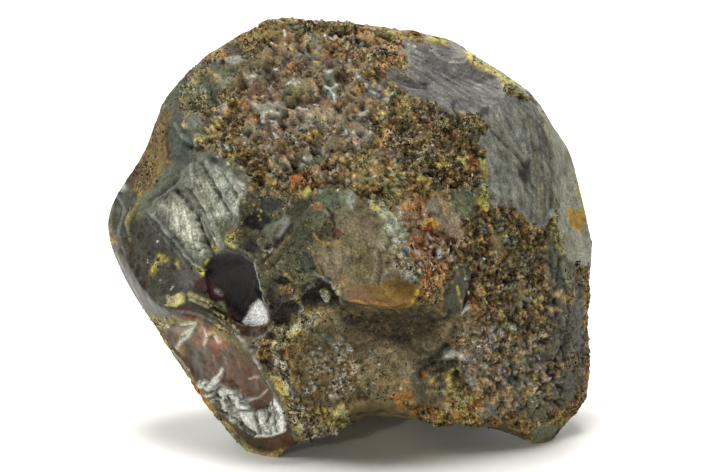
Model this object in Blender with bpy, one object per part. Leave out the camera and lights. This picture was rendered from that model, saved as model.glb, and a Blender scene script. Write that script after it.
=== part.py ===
"""A raw piece of dark amber: one broken lump that stands on three worn tips.

The lump is drawn as two sheets that share one outline, a front and a back. Each sheet is a
set of named ridges with a few points between them, on a board that leans back: a point is
(across, up the board, behind the board) in millimetres. Every ridge keeps its own sharpness
where the sheet is smoothed, and the floor takes the lowest tips off flat.
"""
import math

import bmesh
import bpy
from mathutils import Matrix, Vector
from mathutils.geometry import delaunay_2d_cdt

MM = 0.001
LEAN = math.radians(12)
BOARD_HEIGHT = 37.9 * MM
ORIGIN = Vector((-0.55, 0.3, 0)) * MM
RIM_SHARPNESS = 0.5
SMOOTHING = 2
EAR_BULGE = 2 * MM
FLAT_PAIR = math.radians(25)
SQUARE_PAIR = math.radians(90)
CUTTER_SIZE = 200 * MM

# How the board is cut into triangles: only inside the outline, with points this close
# (in millimetres) taken as one.
INSIDE_OUTLINE = 1
SAME_POINT = 0.001

# The outline, clockwise from the top left.
OUTLINE = [
    (-19.2, 43.2, 5), (-17.2, 44.4, 6), (-12.2, 44.6, 6), (-9.8, 43.8, 7),
    (-4.4, 44.4, 8), (1.4, 43.4, 8), (9.6, 42.4, 9), (14.2, 41.4, 9),
    (20.2, 40.2, 9), (23, 38.2, 8), (26.8, 35.6, 8), (32, 32.6, 8),
    (38.2, 27.8, 9), (41, 22.2, 10), (44.2, 17.6, 9),
    (46.6, 7.6, 8), (48.8, -2, 6), (48.4, -6, 5), (47.4, -11.6, 4),
    (47.2, -21.2, 3), (47.8, -23.2, 2), (47.6, -28, 0), (46.4, -32.8, -2),
    (41, -38.4, -5), (37.4, -42.2, -8), (35.4, -41.2, -9), (32.2, -39.6, -9),
    (25.8, -37.4, -11), (20.8, -36.8, -13), (15, -37, -13),
    (13.4, -36.4, -11), (11.2, -36.2, -6), (6.4, -36.4, -1), (1.4, -36, -4), (-1.8, -37.4, -13),
    (-5.2, -38.8, -17), (-11.6, -40.4, -19), (-15.8, -43.4, -18),
    (-18, -43.6, -17), (-19.8, -42.8, -15), (-23, -40.4, -13),
    (-28.6, -34, -9), (-34.2, -26.6, -6), (-40.4, -16.8, -3),
    (-45.6, -10, -1), (-49.8, 0.2, 0), (-49.4, 5, 0), (-46.8, 10.4, 1),
    (-43.4, 14.8, 2), (-41.2, 19.6, 2), (-38.4, 27.8, 3),
    (-32.2, 35.4, 4), (-26.2, 39, 4), (-21.2, 41.6, 5),
]

# Front ridges: how sharp each one is, from 0 to 1, and its points.
FRONT_RIDGES = {
    "left_rim": (0.6, [
        (-38.4, 27.8, 3), (-38.2, 22.8, -3), (-37, 19.4, -6), (-37.2, 15.2, -7.5),
        (-41.2, 9.4, -6.5), (-42.6, 6.4, -6.5), (-44.2, 3, -6), (-46.4, -2, -5),
        (-43.4, -6.6, -8), (-40.8, -11.6, -11), (-36.6, -14.6, -15), (-30.6, -15.8, -19),
        (-25.4, -17.2, -22), (-22.4, -20, -23.5), (-18, -24, -25), (-14.8, -29.4, -25.5),
        (-12.6, -33.4, -25), (-10.8, -38.2, -22), (-11.6, -40.4, -19),
    ]),
    "fan_keel": (0.7, [
        (-42.6, 6.4, -6.5), (-40, 4.6, -10), (-34.6, -0.8, -15.5), (-29.4, -7.4, -21),
    ]),
    "fan_top": (0.5, [
        (-37.2, 15.2, -7.5), (-32.6, 16.4, -10), (-27.4, 14.2, -15.5), (-22.6, 10, -20),
        (-21.8, 6.4, -21.5),
    ]),
    "scoop_rim": (0.9, [
        (-29.4, -7.4, -21), (-28.8, -4.2, -20.5), (-26.8, -2.4, -21), (-22, -2, -23),
        (-19, -6, -24.5), (-17.8, -11.2, -25), (-16.2, -16.2, -25.5), (-20.6, -17.4, -24),
        (-24.6, -15.2, -21.5), (-28.6, -11.8, -19.5), (-29.4, -7.4, -21),
    ]),
    "dark_facet": (0.7, [
        (-22, -2, -23), (-21.8, 6.4, -21.5), (-17.6, 8.4, -23), (-11.6, 7.6, -25),
        (-12, 2.6, -26), (-17.4, -3, -25), (-19, -6, -24.5),
    ]),
    "lobe_lip": (0.8, [
        (-16.2, -16.2, -25.5), (-11.8, -12, -26.5), (-6.8, -10.4, -28.5), (-1.6, -12.2, -30.5),
        (4.8, -13.4, -31), (11.4, -12.6, -30), (16.2, -10.2, -28), (19, -6.4, -26),
        (22, -3.6, -24.5),
    ]),
    "under_lip": (0.3, [
        (-11.8, -13.6, -24), (-6.8, -12, -23.5), (-1.8, -14, -21.5), (5, -15.4, -19.5),
        (11.6, -14.4, -20), (16.4, -12.2, -21.5), (19.2, -9.4, -23),
    ]),
    "scar_top": (0.8, [
        (9.6, 42.4, 9), (13, 40, 4), (15.4, 37.2, 1), (18.8, 35.6, -1),
        (22.8, 35.8, 1), (24.8, 34, 0), (28, 33, 1), (30.6, 30.4, -2), (31.2, 29, -4),
    ]),
    "scar_low": (0.6, [
        (13, 40, 4), (10.8, 35.2, -4), (6.2, 32, -10), (11, 27.4, -14.5), (14.8, 25.4, -16),
        (20, 23.4, -17), (23.2, 23.4, -16), (25.8, 24.8, -13), (29.4, 27.2, -8), (31.2, 29, -4),
    ]),
    "right_edge": (0.8, [
        (31.2, 29, -4), (34.2, 28.6, -2), (36.6, 24.8, -1.5), (38.6, 19.2, -2), (39.2, 12, -4),
        (39.2, 4.2, -7), (38.8, -1.2, -9.5),
    ]),
    "right_facet": (0.5, [
        (23.2, 23.4, -16), (24.2, 16.4, -20), (24.6, 9.8, -21), (27.4, 7.4, -20),
        (32, 4.4, -17), (36.2, 0.8, -12), (38.8, -1.2, -9.5),
    ]),
    "arch_lip": (0.8, [
        (-1.8, -37.4, -13), (-0.4, -33.4, -15), (4, -31.8, -14), (8.6, -32.6, -13),
        (11.4, -34.4, -13), (13.4, -36.4, -11),
    ]),
    "far_right": (0.5, [(44.2, 17.6, 9), (41.8, 10.8, 2), (39.2, 4.2, -7)]),
    "low_edge": (0.5, [
        (46.4, -32.8, -2), (40.8, -31.4, -9), (36.2, -32.6, -13), (32.2, -35.8, -13),
        (25.6, -35.8, -14.5), (20.8, -36.8, -13),
    ]),
}

FRONT_POINTS = {
    "crown": [
        (-10.8, 36.6, -3), (-0.8, 36.6, -2), (-20.6, 34.8, -5),
        (-27.4, 29.6, -8), (-32.4, 25.8, -7), (-18.2, 25.4, -14), (-6.6, 24.8, -15.5),
        (3, 25.4, -16), (16.4, 18.4, -21), (-23.8, 18.4, -17.5),
        (-14.2, 16.4, -21.5), (-4.6, 15.4, -22), (5, 14.4, -24), (14.4, 10.6, -24.5),
        (21.2, 8.8, -23), (19.2, 2.6, -25.5),
    ],
    "left_fan": [(-24.8, 4, -18.5), (-31.8, 7, -13), (-34.4, 11, -10)],
    "upper_scars": [
        (17.4, 38.6, 4), (18.8, 29.8, -7.5), (26, 30, -4), (31.4, 16.8, -10.5),
        (32.4, 10, -12), (42.2, 3.2, -1), (43.2, 11.4, 5),
    ],
    "left_hollow": [(-38.8, -5, -11), (-34.6, -9.4, -15)],
    "window": [(-30, -21.2, -11), (-23, -29.4, -14.5), (-17.8, -35.8, -16.5)],
    "scoops": [(-21.4, -12.2, -19.5), (-17.2, 2.6, -22)],
    "lobe": [
        (-8.4, 5, -26), (-1.6, 5.8, -27), (7.8, 5.8, -27.5), (-4.6, -2.6, -29.5), (3, -2.6, -31),
        (10.4, -3.6, -30), (16.2, -1.6, -28),
    ],
    "hollow": [
        (5, -19.2, -17), (-2.6, -19.6, -18.5), (12.6, -19, -18.5), (-10.2, -17, -22),
        (-2.6, -26.8, -17.5), (7, -25.8, -16), (-12.2, -22.6, -24), (-9.4, -30.4, -22),
        (-0.8, -30.8, -16.5), (-7.4, -36.2, -20), (12.8, -27.8, -16.5),
    ],
    "right_crust": [
        (24.8, 0.2, -23.5), (28.8, -2.6, -21.5), (34, -7.6, -17), (40.4, -7.6, -9),
        (43.8, -12.6, -4), (24, -10.2, -23.5), (27.8, -18, -21.5), (36, -18.2, -15.5),
        (42, -22.4, -8), (18.4, -18, -21.5), (17.2, -23.8, -18.5), (21.8, -28.6, -19.5),
        (29, -26.6, -19), (37, -27, -14), (16.6, -31.6, -16.5), (37.6, -39.2, -10),
    ],
}

# Back ridges: a blunt shoulder behind the outline, and four facets that meet at a crest.
BACK_RIDGES = {
    "shoulder": (0.35, [
        (-18.2, -38.8, -5), (-29.8, -27.4, 3), (-35.2, -20, 6),
        (-41.4, -11.4, 8), (-47.4, 2.8, 11), (-44.2, 9.4, 11),
        (-40.2, 14, 12), (-38.8, 20.8, 14), (-36.4, 27.2, 16), (-30.6, 33.2, 17),
        (-22.4, 38.6, 19), (-16.2, 42.2, 20), (-8.8, 41, 22), (1.2, 41.6, 24), (12.2, 40, 24),
        (20.6, 37.8, 23), (25.6, 34.2, 25), (33.2, 29, 24), (38.8, 22, 25), (42.2, 14.2, 22),
        (44.2, 6.4, 21), (44.6, -13.2, 16), (44.2, -23.8, 12),
        (42.2, -32, 6), (36.2, -36, 0),
    ]),
    "crest": (0.7, [
        (-16.2, 42.2, 20), (-11.4, 29.8, 26), (-3, 9.8, 32), (8.8, 0.2, 34), (18.4, -11.6, 32),
        (34.8, -17.6, 23), (44.2, -23.8, 12),
    ]),
    "left_crest": (0.7, [
        (-44.2, 9.4, 11), (-35, 2.2, 18), (-24, -5.4, 24), (-9.4, -10.4, 30), (8.8, 0.2, 34),
    ]),
    "right_crest": (0.6, [(20.6, 37.8, 23), (20.2, 26.6, 27), (18.2, 14, 30), (8.8, 0.2, 34)]),
    "low_crest": (0.6, [(-9.4, -10.4, 30), (-4, -26.2, 27), (-2.4, -35.6, 21)]),
    "foot": (0.5, [
        (-18.2, -38.8, -5), (-15.4, -30, 12), (-2.4, -35.6, 21), (7, -35, 24.5),
        (15.4, -35.8, 21), (30, -31, 13), (42.2, -32, 6),
    ]),
}

BACK_POINTS = {
    "facets": [
        (-24.8, 26.2, 20), (13.8, 22.2, 24), (31.4, 11.6, 20), (37.6, 1.2, 19), (26.6, -3, 25),
        (-31.6, -9, 12), (-23.4, -19.4, 13), (5.4, -19.8, 28), (22, -24, 23),
        (38.4, -21.4, 15), (-33.8, 11.6, 15), (-0.8, 18.2, 26), (-13, -20, 18),
    ],
    "underside": [(-10.8, -35.4, 4), (4.2, -35, 8), (23.6, -35, 6), (32.4, -35.4, 0)],
    "sole": [(0, -37.2, 14.5), (7, -37.4, 14), (13, -37.2, 15)],
}


def board_point(across, up, behind):
    """Turn a point on the leaning board into metres, +Z up and +Y away."""
    depth = up * math.sin(LEAN) + behind * math.cos(LEAN)
    height = up * math.cos(LEAN) - behind * math.sin(LEAN)
    return Vector((across, depth, height)) * MM + Vector((0, 0, BOARD_HEIGHT)) - ORIGIN


def add_sheet(cage, rim, ridges, points, is_back):
    """Fill the rim with triangles that keep to the ridges. Return each ridge edge's sharpness."""
    corners = list(OUTLINE)
    edges = [(i, (i + 1) % len(rim)) for i in range(len(rim))]
    sharpness = {}
    for sharp, line in ridges.values():
        for corner in line:
            if corner not in corners:
                corners.append(corner)
        stops = [corners.index(corner) for corner in line]
        for pair in zip(stops, stops[1:]):
            edges.append(pair)
            sharpness[frozenset(pair)] = sharp
    for group in points.values():
        corners += group

    flat = [Vector(corner[:2]) for corner in corners]
    _, _, triangles, sources, _, _ = delaunay_2d_cdt(
        flat, edges, [range(len(rim))], INSIDE_OUTLINE, SAME_POINT)
    corner_of = [source[0] for source in sources]
    verts = list(rim) + [cage.verts.new(board_point(*corner)) for corner in corners[len(rim):]]
    for triangle in triangles:
        trio = [verts[corner_of[i]] for i in triangle]
        if is_back:
            trio.reverse()
        if is_back and all(vert in rim for vert in trio):
            add_ear(cage, trio)
        else:
            cage.faces.new(trio)
    return {frozenset(verts[i] for i in pair): sharp for pair, sharp in sharpness.items()}


def add_ear(cage, trio):
    """A back triangle with all its corners on the rim bulges, so that it misses the front's."""
    middle = sum((vert.co for vert in trio), Vector()) / 3
    tip = cage.verts.new(middle + Vector((0, EAR_BULGE, 0)))
    for i in range(3):
        cage.faces.new((trio[i], trio[(i + 1) % 3], tip))


def amber_cage():
    """The coarse closed cage, with a sharpness on every ridge edge."""
    cage = bmesh.new()
    rim = [cage.verts.new(board_point(*corner)) for corner in OUTLINE]
    sharpness = {frozenset((rim[i - 1], rim[i])): RIM_SHARPNESS for i in range(len(rim))}
    sharpness |= add_sheet(cage, rim, FRONT_RIDGES, FRONT_POINTS, is_back=False)
    sharpness |= add_sheet(cage, rim, BACK_RIDGES, BACK_POINTS, is_back=True)
    crease = cage.edges.layers.float.new("crease_edge")
    for edge in cage.edges:
        edge[crease] = sharpness.get(frozenset(edge.verts), 0)
        edge.smooth = edge[crease] == 0
    bmesh.ops.recalc_face_normals(cage, faces=cage.faces)
    bmesh.ops.join_triangles(
        cage, faces=cage.faces, cmp_sharp=True,
        angle_face_threshold=FLAT_PAIR, angle_shape_threshold=SQUARE_PAIR)
    return cage


def add_object(name, shape):
    mesh = bpy.data.meshes.new(name)
    shape.to_mesh(mesh)
    shape.free()
    mesh.shade_smooth()
    thing = bpy.data.objects.new(name, mesh)
    bpy.context.scene.collection.objects.link(thing)
    return thing


def amber_material():
    material = bpy.data.materials.new("amber")
    material.use_nodes = True
    shader = material.node_tree.nodes["Principled BSDF"]
    shader.inputs["Base Color"].default_value = (0.16, 0.12, 0.07, 1)
    shader.inputs["Roughness"].default_value = 0.45
    shader.inputs["Metallic"].default_value = 0
    shader.inputs["IOR"].default_value = 1.54
    return material


def floor_cutter():
    """A block that fills the space under the floor."""
    block = bmesh.new()
    below = Matrix.Translation((0, 0, -CUTTER_SIZE / 2))
    bmesh.ops.create_cube(block, size=CUTTER_SIZE, matrix=below)
    cutter = add_object("floor_cutter", block)
    cutter.hide_render = True
    cutter.display_type = "WIRE"
    return cutter


def raw_amber():
    amber = add_object("raw_amber", amber_cage())
    amber.data.materials.append(amber_material())
    smooth = amber.modifiers.new("Smooth", "SUBSURF")
    smooth.levels = SMOOTHING
    smooth.render_levels = SMOOTHING
    rest = amber.modifiers.new("Rest", "BOOLEAN")
    rest.operation = "DIFFERENCE"
    rest.solver = "EXACT"
    rest.object = floor_cutter()
    return amber


for leftover in list(bpy.data.objects):
    bpy.data.objects.remove(leftover)
raw_amber()
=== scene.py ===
import math

import bmesh
import bpy
import numpy as np
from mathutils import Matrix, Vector
from mathutils.bvhtree import BVHTree


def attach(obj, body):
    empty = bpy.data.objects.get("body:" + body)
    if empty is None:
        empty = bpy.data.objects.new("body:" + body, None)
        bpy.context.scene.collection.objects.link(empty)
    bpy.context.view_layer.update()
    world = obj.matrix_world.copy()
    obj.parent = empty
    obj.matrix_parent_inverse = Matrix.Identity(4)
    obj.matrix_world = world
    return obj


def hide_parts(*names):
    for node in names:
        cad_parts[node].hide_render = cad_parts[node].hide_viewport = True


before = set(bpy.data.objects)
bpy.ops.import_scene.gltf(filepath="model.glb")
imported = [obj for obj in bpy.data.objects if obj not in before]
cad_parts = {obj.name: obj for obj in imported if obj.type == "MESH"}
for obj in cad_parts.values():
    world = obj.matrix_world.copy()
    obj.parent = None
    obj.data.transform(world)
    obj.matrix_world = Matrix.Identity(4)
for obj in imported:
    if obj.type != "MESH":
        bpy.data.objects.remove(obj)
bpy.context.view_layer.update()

MM = 0.001
SEED = 11

# The camera and the photograph's frame.
PHOTO_WIDTH, PHOTO_HEIGHT = 708, 472
CAMERA_LEAN = math.radians(12)
CAMERA_DISTANCE = 472 * MM
CAMERA_TARGET = np.array((0.55, -0.3, 37.9)) * MM
LENS, SENSOR = 120, 36
PIXELS_PER_TANGENT = PHOTO_WIDTH * LENS / SENSOR
CAMERA_UP = Vector((0, math.sin(CAMERA_LEAN), math.cos(CAMERA_LEAN)))
CAMERA_BACK = Vector((0, -math.cos(CAMERA_LEAN), math.sin(CAMERA_LEAN)))

# Millimetres that one pixel spans on the lump, near enough for its break lines.
MM_PER_PIXEL = 0.2

# The body's mesh: how its facets are joined and creased, and how finely it is cut.
MERGE = 1e-6
JOINED_FACES = math.radians(20)
JOINED_SHAPES = math.radians(100)
SHARP_EDGE = math.radians(20)
FULL_CREASE_EDGE = math.radians(45)
LEAST_CREASE = 0.4
REFERENCE_LEVELS = 3
FRONT_REACH = -0.12
FINEST_FACES = 6300
FLOOR_FADE = 1.6 * MM

# The least height above the floor of the body, the inner sheet and the crumbs.
BODY_GAP, SHEET_GAP, CRUMB_GAP = 0.3 * MM, 0.5 * MM, 0.05 * MM

# The window's glass is no clearer than this, and the inner sheet lies where it is clearer than that.
CLEAREST = 0.34
SHEET_BELOW = 0.3

# Pieces of crumbs: name, side of the lump, count, size in millimetres, finish and seed.
CRUMBS = [
    ("crumbs_front", "front", 5500, 0.28, "rough", 21),
    ("glints_front", "front", 11000, 0.2, "glossy", 22),
    ("crumbs_back", "back", 12000, 0.38, "rough", 23),
]
CRUMB_START = 0.8 * MM
CRUMB_ROUGHNESS = {"rough": (0.45, 0.9), "glossy": (0.08, 0.4)}
# Pale crumbs are partly white grains and partly painted glints.
PALETTE = {
    "ochre": (188, 150, 84), "yellow": (194, 182, 102), "rust": (146, 88, 54),
    "dark": (42, 35, 26), "pale": (206, 200, 180), "plum": (126, 112, 112),
}

# Amber as a material: sizes in millimetres of its crust's grains, and how light passes through.
GRAIN_SIZES = (0.95, 0.45, 0.22)
LINE_WIDTHS = (0.8, 0.47)
AMBER_IOR = 1.54
ABSORBED = (0.92, 0.52, 0.12, 1)
ABSORPTION = 160

# The studio. Each light: name, place, width, height, power and whether gloss mirrors it.
FLOOR_HALF = 4
WORLD_STRENGTH = 0.025
LIGHT_COLOUR = (1.0, 0.99, 0.95)
LIT_POINT = Vector((0, 0, 0.035))
LIGHTS = [
    ("top", (0.0, 0.15, 0.85), 0.5, 0.5, 9.6, False),
    ("gloss", (-0.1, 0.3, 0.8), 0.22, 0.22, 2.2, True),
    ("left", (-0.75, 0.1, 0.5), 0.6, 0.6, 4.4, True),
    ("right", (0.7, 0.35, 0.6), 0.4, 0.4, 1.2, True),
    ("front", (-0.3, -1.3, 0.055), 0.8, 0.08, 11.8, False),
    ("spark", (-0.5, -0.9, 0.3), 0.07, 0.07, 1.8, True),
    ("back", (0.0, 1.1, 0.4), 0.9, 0.9, 8, True),
]


def srgb(red, green, blue):
    """A colour as read from 0 to 255, in linear light."""
    def linear(value):
        value /= 255
        return value / 12.92 if value <= 0.04045 else ((value + 0.055) / 1.055) ** 2.4
    return np.array([linear(red), linear(green), linear(blue)])


# ---------------------------------------------------------------- noise

def lattice_vectors(cell, seed):
    """A random unit vector for each whole-number cell, the same each run."""
    mixed = (cell[:, 0] * 73856093) ^ (cell[:, 1] * 19349663) ^ (cell[:, 2] * 83492791)
    mixed = (mixed ^ (seed * 2654435761)) & 0xFFFFFFFF
    mixed = ((mixed ^ (mixed >> 15)) * 2246822519) & 0xFFFFFFFF
    mixed = ((mixed ^ (mixed >> 13)) * 3266489917) & 0xFFFFFFFF
    turn = (mixed & 0xFFFF) / 65536 * 2 * math.pi
    rise = ((mixed >> 16) & 0xFFFF) / 65536 * 2 - 1
    flat = np.sqrt(1 - rise * rise)
    return np.stack([flat * np.cos(turn), flat * np.sin(turn), rise], 1)


def noise(points, size, seed):
    """Smooth noise from about -1 to 1, with features of the given size."""
    scaled = points / size
    cell = np.floor(scaled).astype(np.int64)
    inner = scaled - cell
    ease = inner ** 3 * (inner * (inner * 6 - 15) + 10)
    total = np.zeros(len(points))
    for corner in np.ndindex(2, 2, 2):
        offset = np.array(corner)
        weight = np.prod(np.where(offset, ease, 1 - ease), 1)
        total += weight * np.sum(lattice_vectors(cell + offset, seed) * (inner - offset), 1)
    return total * 1.6


def layered_noise(points, size, layers, seed, fade=0.5):
    total, strength, norm = np.zeros(len(points)), 1.0, 0.0
    for layer in range(layers):
        total += strength * noise(points, size * 0.5 ** layer, seed + layer * 31)
        norm += strength
        strength *= fade
    return total / norm


def broken_cells(points, size, seed):
    """Random cells of the given size: each point's distance and way from its cell's centre, and
    three random numbers per cell."""
    scaled = points / size
    base = np.floor(scaled).astype(np.int64)
    nearest = np.full(len(points), 1e9)
    way = np.zeros_like(points)
    picks = np.zeros_like(points)
    for step in np.ndindex(3, 3, 3):
        cell = base + np.array(step) - 1
        spread = lattice_vectors(cell, seed)
        away = scaled - (cell + 0.5 + spread * 0.42)
        distance = np.linalg.norm(away, axis=1)
        closer = distance < nearest
        nearest = np.where(closer, distance, nearest)
        way[closer] = away[closer]
        picks[closer] = lattice_vectors(cell[closer], seed + 7)
    return nearest, way, picks


def smoothstep(low, high, value):
    t = np.clip((value - low) / (high - low), 0, 1)
    return t * t * (3 - 2 * t)


def segment_distance(u, v, u0, v0, u1, v1):
    along_u, along_v = u1 - u0, v1 - v0
    length = max(along_u ** 2 + along_v ** 2, 1e-9)
    share = np.clip(((u - u0) * along_u + (v - v0) * along_v) / length, 0, 1)
    return np.hypot(u - u0 - along_u * share, v - v0 - along_v * share)


def path_distance(u, v, path):
    distance = np.full(len(u), 1e9)
    for (u0, v0), (u1, v1) in zip(path, path[1:]):
        distance = np.minimum(distance, segment_distance(u, v, u0, v0, u1, v1))
    return distance


# ---------------------------------------------------------------- the surface that is drawn on

class Skin:
    """The lump's surface points in millimetres, and what is drawn on them."""

    def __init__(self, points, normals):
        self.points = points / MM
        self.normals = normals
        up, back = np.array(CAMERA_UP), np.array(CAMERA_BACK)
        seen = points - CAMERA_TARGET
        depth = CAMERA_DISTANCE - seen @ back
        self.u = PHOTO_WIDTH / 2 + PIXELS_PER_TANGENT * seen[:, 0] / depth
        self.v = PHOTO_HEIGHT / 2 - PIXELS_PER_TANGENT * (seen @ up) / depth
        to_camera = CAMERA_TARGET + back * CAMERA_DISTANCE - points
        to_camera /= np.linalg.norm(to_camera, axis=1)[:, None]
        facing = np.sum(normals * to_camera, 1)
        self.sides = {
            "front": smoothstep(-0.22, -0.02, facing),
            "back": smoothstep(0.02, 0.2, -facing),
        }
        self.turned_in = smoothstep(0.0, 0.4, np.abs(facing))
        self.side = "front"
        self.wobble_u = layered_noise(self.points, 2.4, 3, SEED) * 6
        self.wobble_v = layered_noise(self.points, 2.4, 3, SEED + 5) * 6
        self.worn = np.clip(0.85 + 0.9 * layered_noise(self.points, 1.3, 3, SEED + 8), 0.15, 1)
        self.patchy = self.worn
        count = len(points)
        self.tint = np.tile(srgb(116, 100, 60), (count, 1))
        self.height = np.zeros(count)
        self.fields = {
            "crust": np.ones(count), "clear": np.zeros(count), "rough": np.full(count, 0.6),
            "speck": np.full(count, 0.35), "rust": np.full(count, 0.2),
            "ripple": np.zeros(count), "phase": np.zeros(count),
        }

    def inside(self, outline, soft, wobble=1.0):
        """1 inside the outline and 0 outside, with a soft and slightly ragged border."""
        u = self.u + self.wobble_u * wobble
        v = self.v + self.wobble_v * wobble
        distance = np.full(len(u), 1e9)
        within = np.zeros(len(u), bool)
        for (u0, v0), (u1, v1) in zip(outline, outline[1:] + outline[:1]):
            distance = np.minimum(distance, segment_distance(u, v, u0, v0, u1, v1))
            if v0 != v1:
                crosses = ((v0 > v) != (v1 > v)) & (u < (u1 - u0) * (v - v0) / (v1 - v0) + u0)
                within ^= crosses
        signed = np.where(within, distance, -distance)
        return smoothstep(-soft, soft, signed) * self.sides[self.side]

    def near(self, path, width, wobble=0.25):
        """1 on the path, falling off on both sides."""
        u = self.u + self.wobble_u * wobble
        v = self.v + self.wobble_v * wobble
        line = np.exp(-(path_distance(u, v, path) / width) ** 2)
        return line * self.patchy * self.sides[self.side]

    def apply(self, mask, colour=None, lift=0.0, **finish):
        """Move the tint, the height and any fields towards what is given, where the mask is."""
        if colour is not None:
            self.tint += (srgb(*colour) - self.tint) * mask[:, None]
        self.height += lift * mask
        for name, value in finish.items():
            self.fields[name] += (value - self.fields[name]) * mask

    def patch(self, outline, colour=None, soft=3.0, wobble=1.0, **drawn):
        self.apply(self.inside(outline, soft, wobble), colour, **drawn)

    def stroke(self, path, width, colour=None, wobble=0.25, **drawn):
        self.apply(self.near(path, width, wobble), colour, **drawn)

    def blob(self, u, v, wide, tall, colour=None, **drawn):
        away = np.hypot((self.u + self.wobble_u * 0.7 - u) / wide,
                        (self.v + self.wobble_v * 0.7 - v) / tall)
        self.apply(smoothstep(1.3, 0.75, away) * self.sides[self.side], colour, **drawn)

    def shade(self, amount):
        self.tint *= 1 + amount[:, None]

    def rays(self, u, v, fineness, seed):
        """Noise drawn out along the lines that leave one point, from about -1 to 1."""
        angle = np.arctan2(self.v - v, self.u - u)
        away = np.hypot(self.v - v, self.u - u)
        spread = np.stack([angle * fineness, away * 0.03, 0 * away], 1)
        return np.clip(layered_noise(spread, 1, 3, seed, 0.7) * 2.2, -1, 1)

    def spot(self, u, v, radius, colour=None, **drawn):
        self.apply(self.near([(u, v), (u + 0.1, v)], radius, 0.4), colour, **drawn)


def mark_maker(draw):
    """A maker of marks, each of which keeps what it is given until it is drawn on a skin."""
    def make(*place, **drawn):
        return lambda skin: draw(skin, *place, **drawn)
    return make


patch, stroke, blob, spot = map(mark_maker, (Skin.patch, Skin.stroke, Skin.blob, Skin.spot))


def strokes(rows, **finish):
    """Rows of path, width, colour and lift, all with the same finish."""
    return [stroke(path, width, colour, lift=lift, **finish) for path, width, colour, lift in rows]


def blobs(rows, **finish):
    """Rows of centre, half sizes, colour and lift, all with the same finish."""
    return [blob(*place, colour, lift=lift, **finish) for *place, colour, lift in rows]


def sprinkle(area, count, radius, colours, seed, **finish):
    """Small spots strewn over an ellipse given by its centre and half sizes."""
    u, v, wide, tall = area
    spots = []
    for turn, out, size, pick in np.random.default_rng(seed).random((count, 4)):
        out = math.sqrt(out)
        spots.append(spot(u + wide * out * math.cos(2 * math.pi * turn),
                          v + tall * out * math.sin(2 * math.pi * turn),
                          radius * (0.6 + 0.9 * size), colours[int(pick * len(colours))],
                          **finish))
    return spots


def scratch(area, count, width, colours, seed, **finish):
    """Short crooked lines strewn over an ellipse."""
    u, v, wide, tall = area
    lines = []
    for turn, out, way, long, pick in np.random.default_rng(seed).random((count, 5)):
        out, turn, way, long = math.sqrt(out), 2 * math.pi * turn, 2 * math.pi * way, 2 + 4 * long
        start = np.array((u + wide * out * math.cos(turn), v + tall * out * math.sin(turn)))
        middle = start + np.array((math.cos(way), math.sin(way))) * long
        end = middle + np.array((math.cos(way + 1), math.sin(way + 1))) * long * 0.8
        lines.append(stroke([tuple(start), tuple(middle), tuple(end)], width,
                            colours[int(pick * len(colours))], **finish))
    return lines


def grained(outline, rays, ray_strength, cloud, cloud_strength):
    """Shading inside an outline: streaks that spread from one point, and cloudy noise."""
    def draw(skin):
        inside = skin.inside(outline, 3)
        skin.shade(inside * (ray_strength * skin.rays(*rays)
                             + cloud_strength * layered_noise(skin.points, *cloud)))
    return draw


# ---------------------------------------------------------------- marks, area by area
# Every outline, path and centre below is in photo pixels, and every colour is sRGB from 0 to 255.
# A table lists its marks in the order they are drawn, so that later ones lie over earlier ones.

GLASSY = {"crust": 0.0, "speck": 0.0, "rust": 0.0}
SLATE = {"soft": 4, "crust": 0.2, "speck": 0.05, "rust": 0.0, "rough": 0.42}
YELLOW_CRUMB = {"lift": 0.3, "crust": 0.7, "speck": 1.0, "rough": 0.6}
# The finish of the window's painted silver reflection.
SILVER = {"clear": 0.0, "rough": 0.2}

CROWN_CRUST = [
    patch([(165, 155), (160, 100), (175, 78), (200, 56), (230, 40), (240, 70), (222, 100),
          (215, 130), (200, 142), (180, 145)], (84, 88, 64), soft=8, crust=0.7, speck=0.5,
          rust=0.05),
    *[patch(outline, (126, 98, 66), soft=10, rust=0.5, speck=0.5)
      for outline in [
            [(262, 120), (300, 112), (330, 128), (322, 160), (280, 165), (258, 145)],
            [(350, 25), (400, 30), (412, 55), (408, 75), (380, 72), (352, 55)],
        ]],
    patch([(395, 105), (440, 112), (470, 122), (480, 160), (478, 200), (450, 190), (420, 175),
          (390, 150)], (104, 90, 54), soft=10, speck=0.8, rust=0.35),
    patch([(238, 70), (262, 55), (300, 48), (350, 58), (374, 84), (372, 138), (335, 160),
          (290, 166), (256, 152), (236, 120)], (96, 84, 66), soft=8, crust=0.72, speck=0.15,
          rust=0.15, rough=0.45),
]
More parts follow.
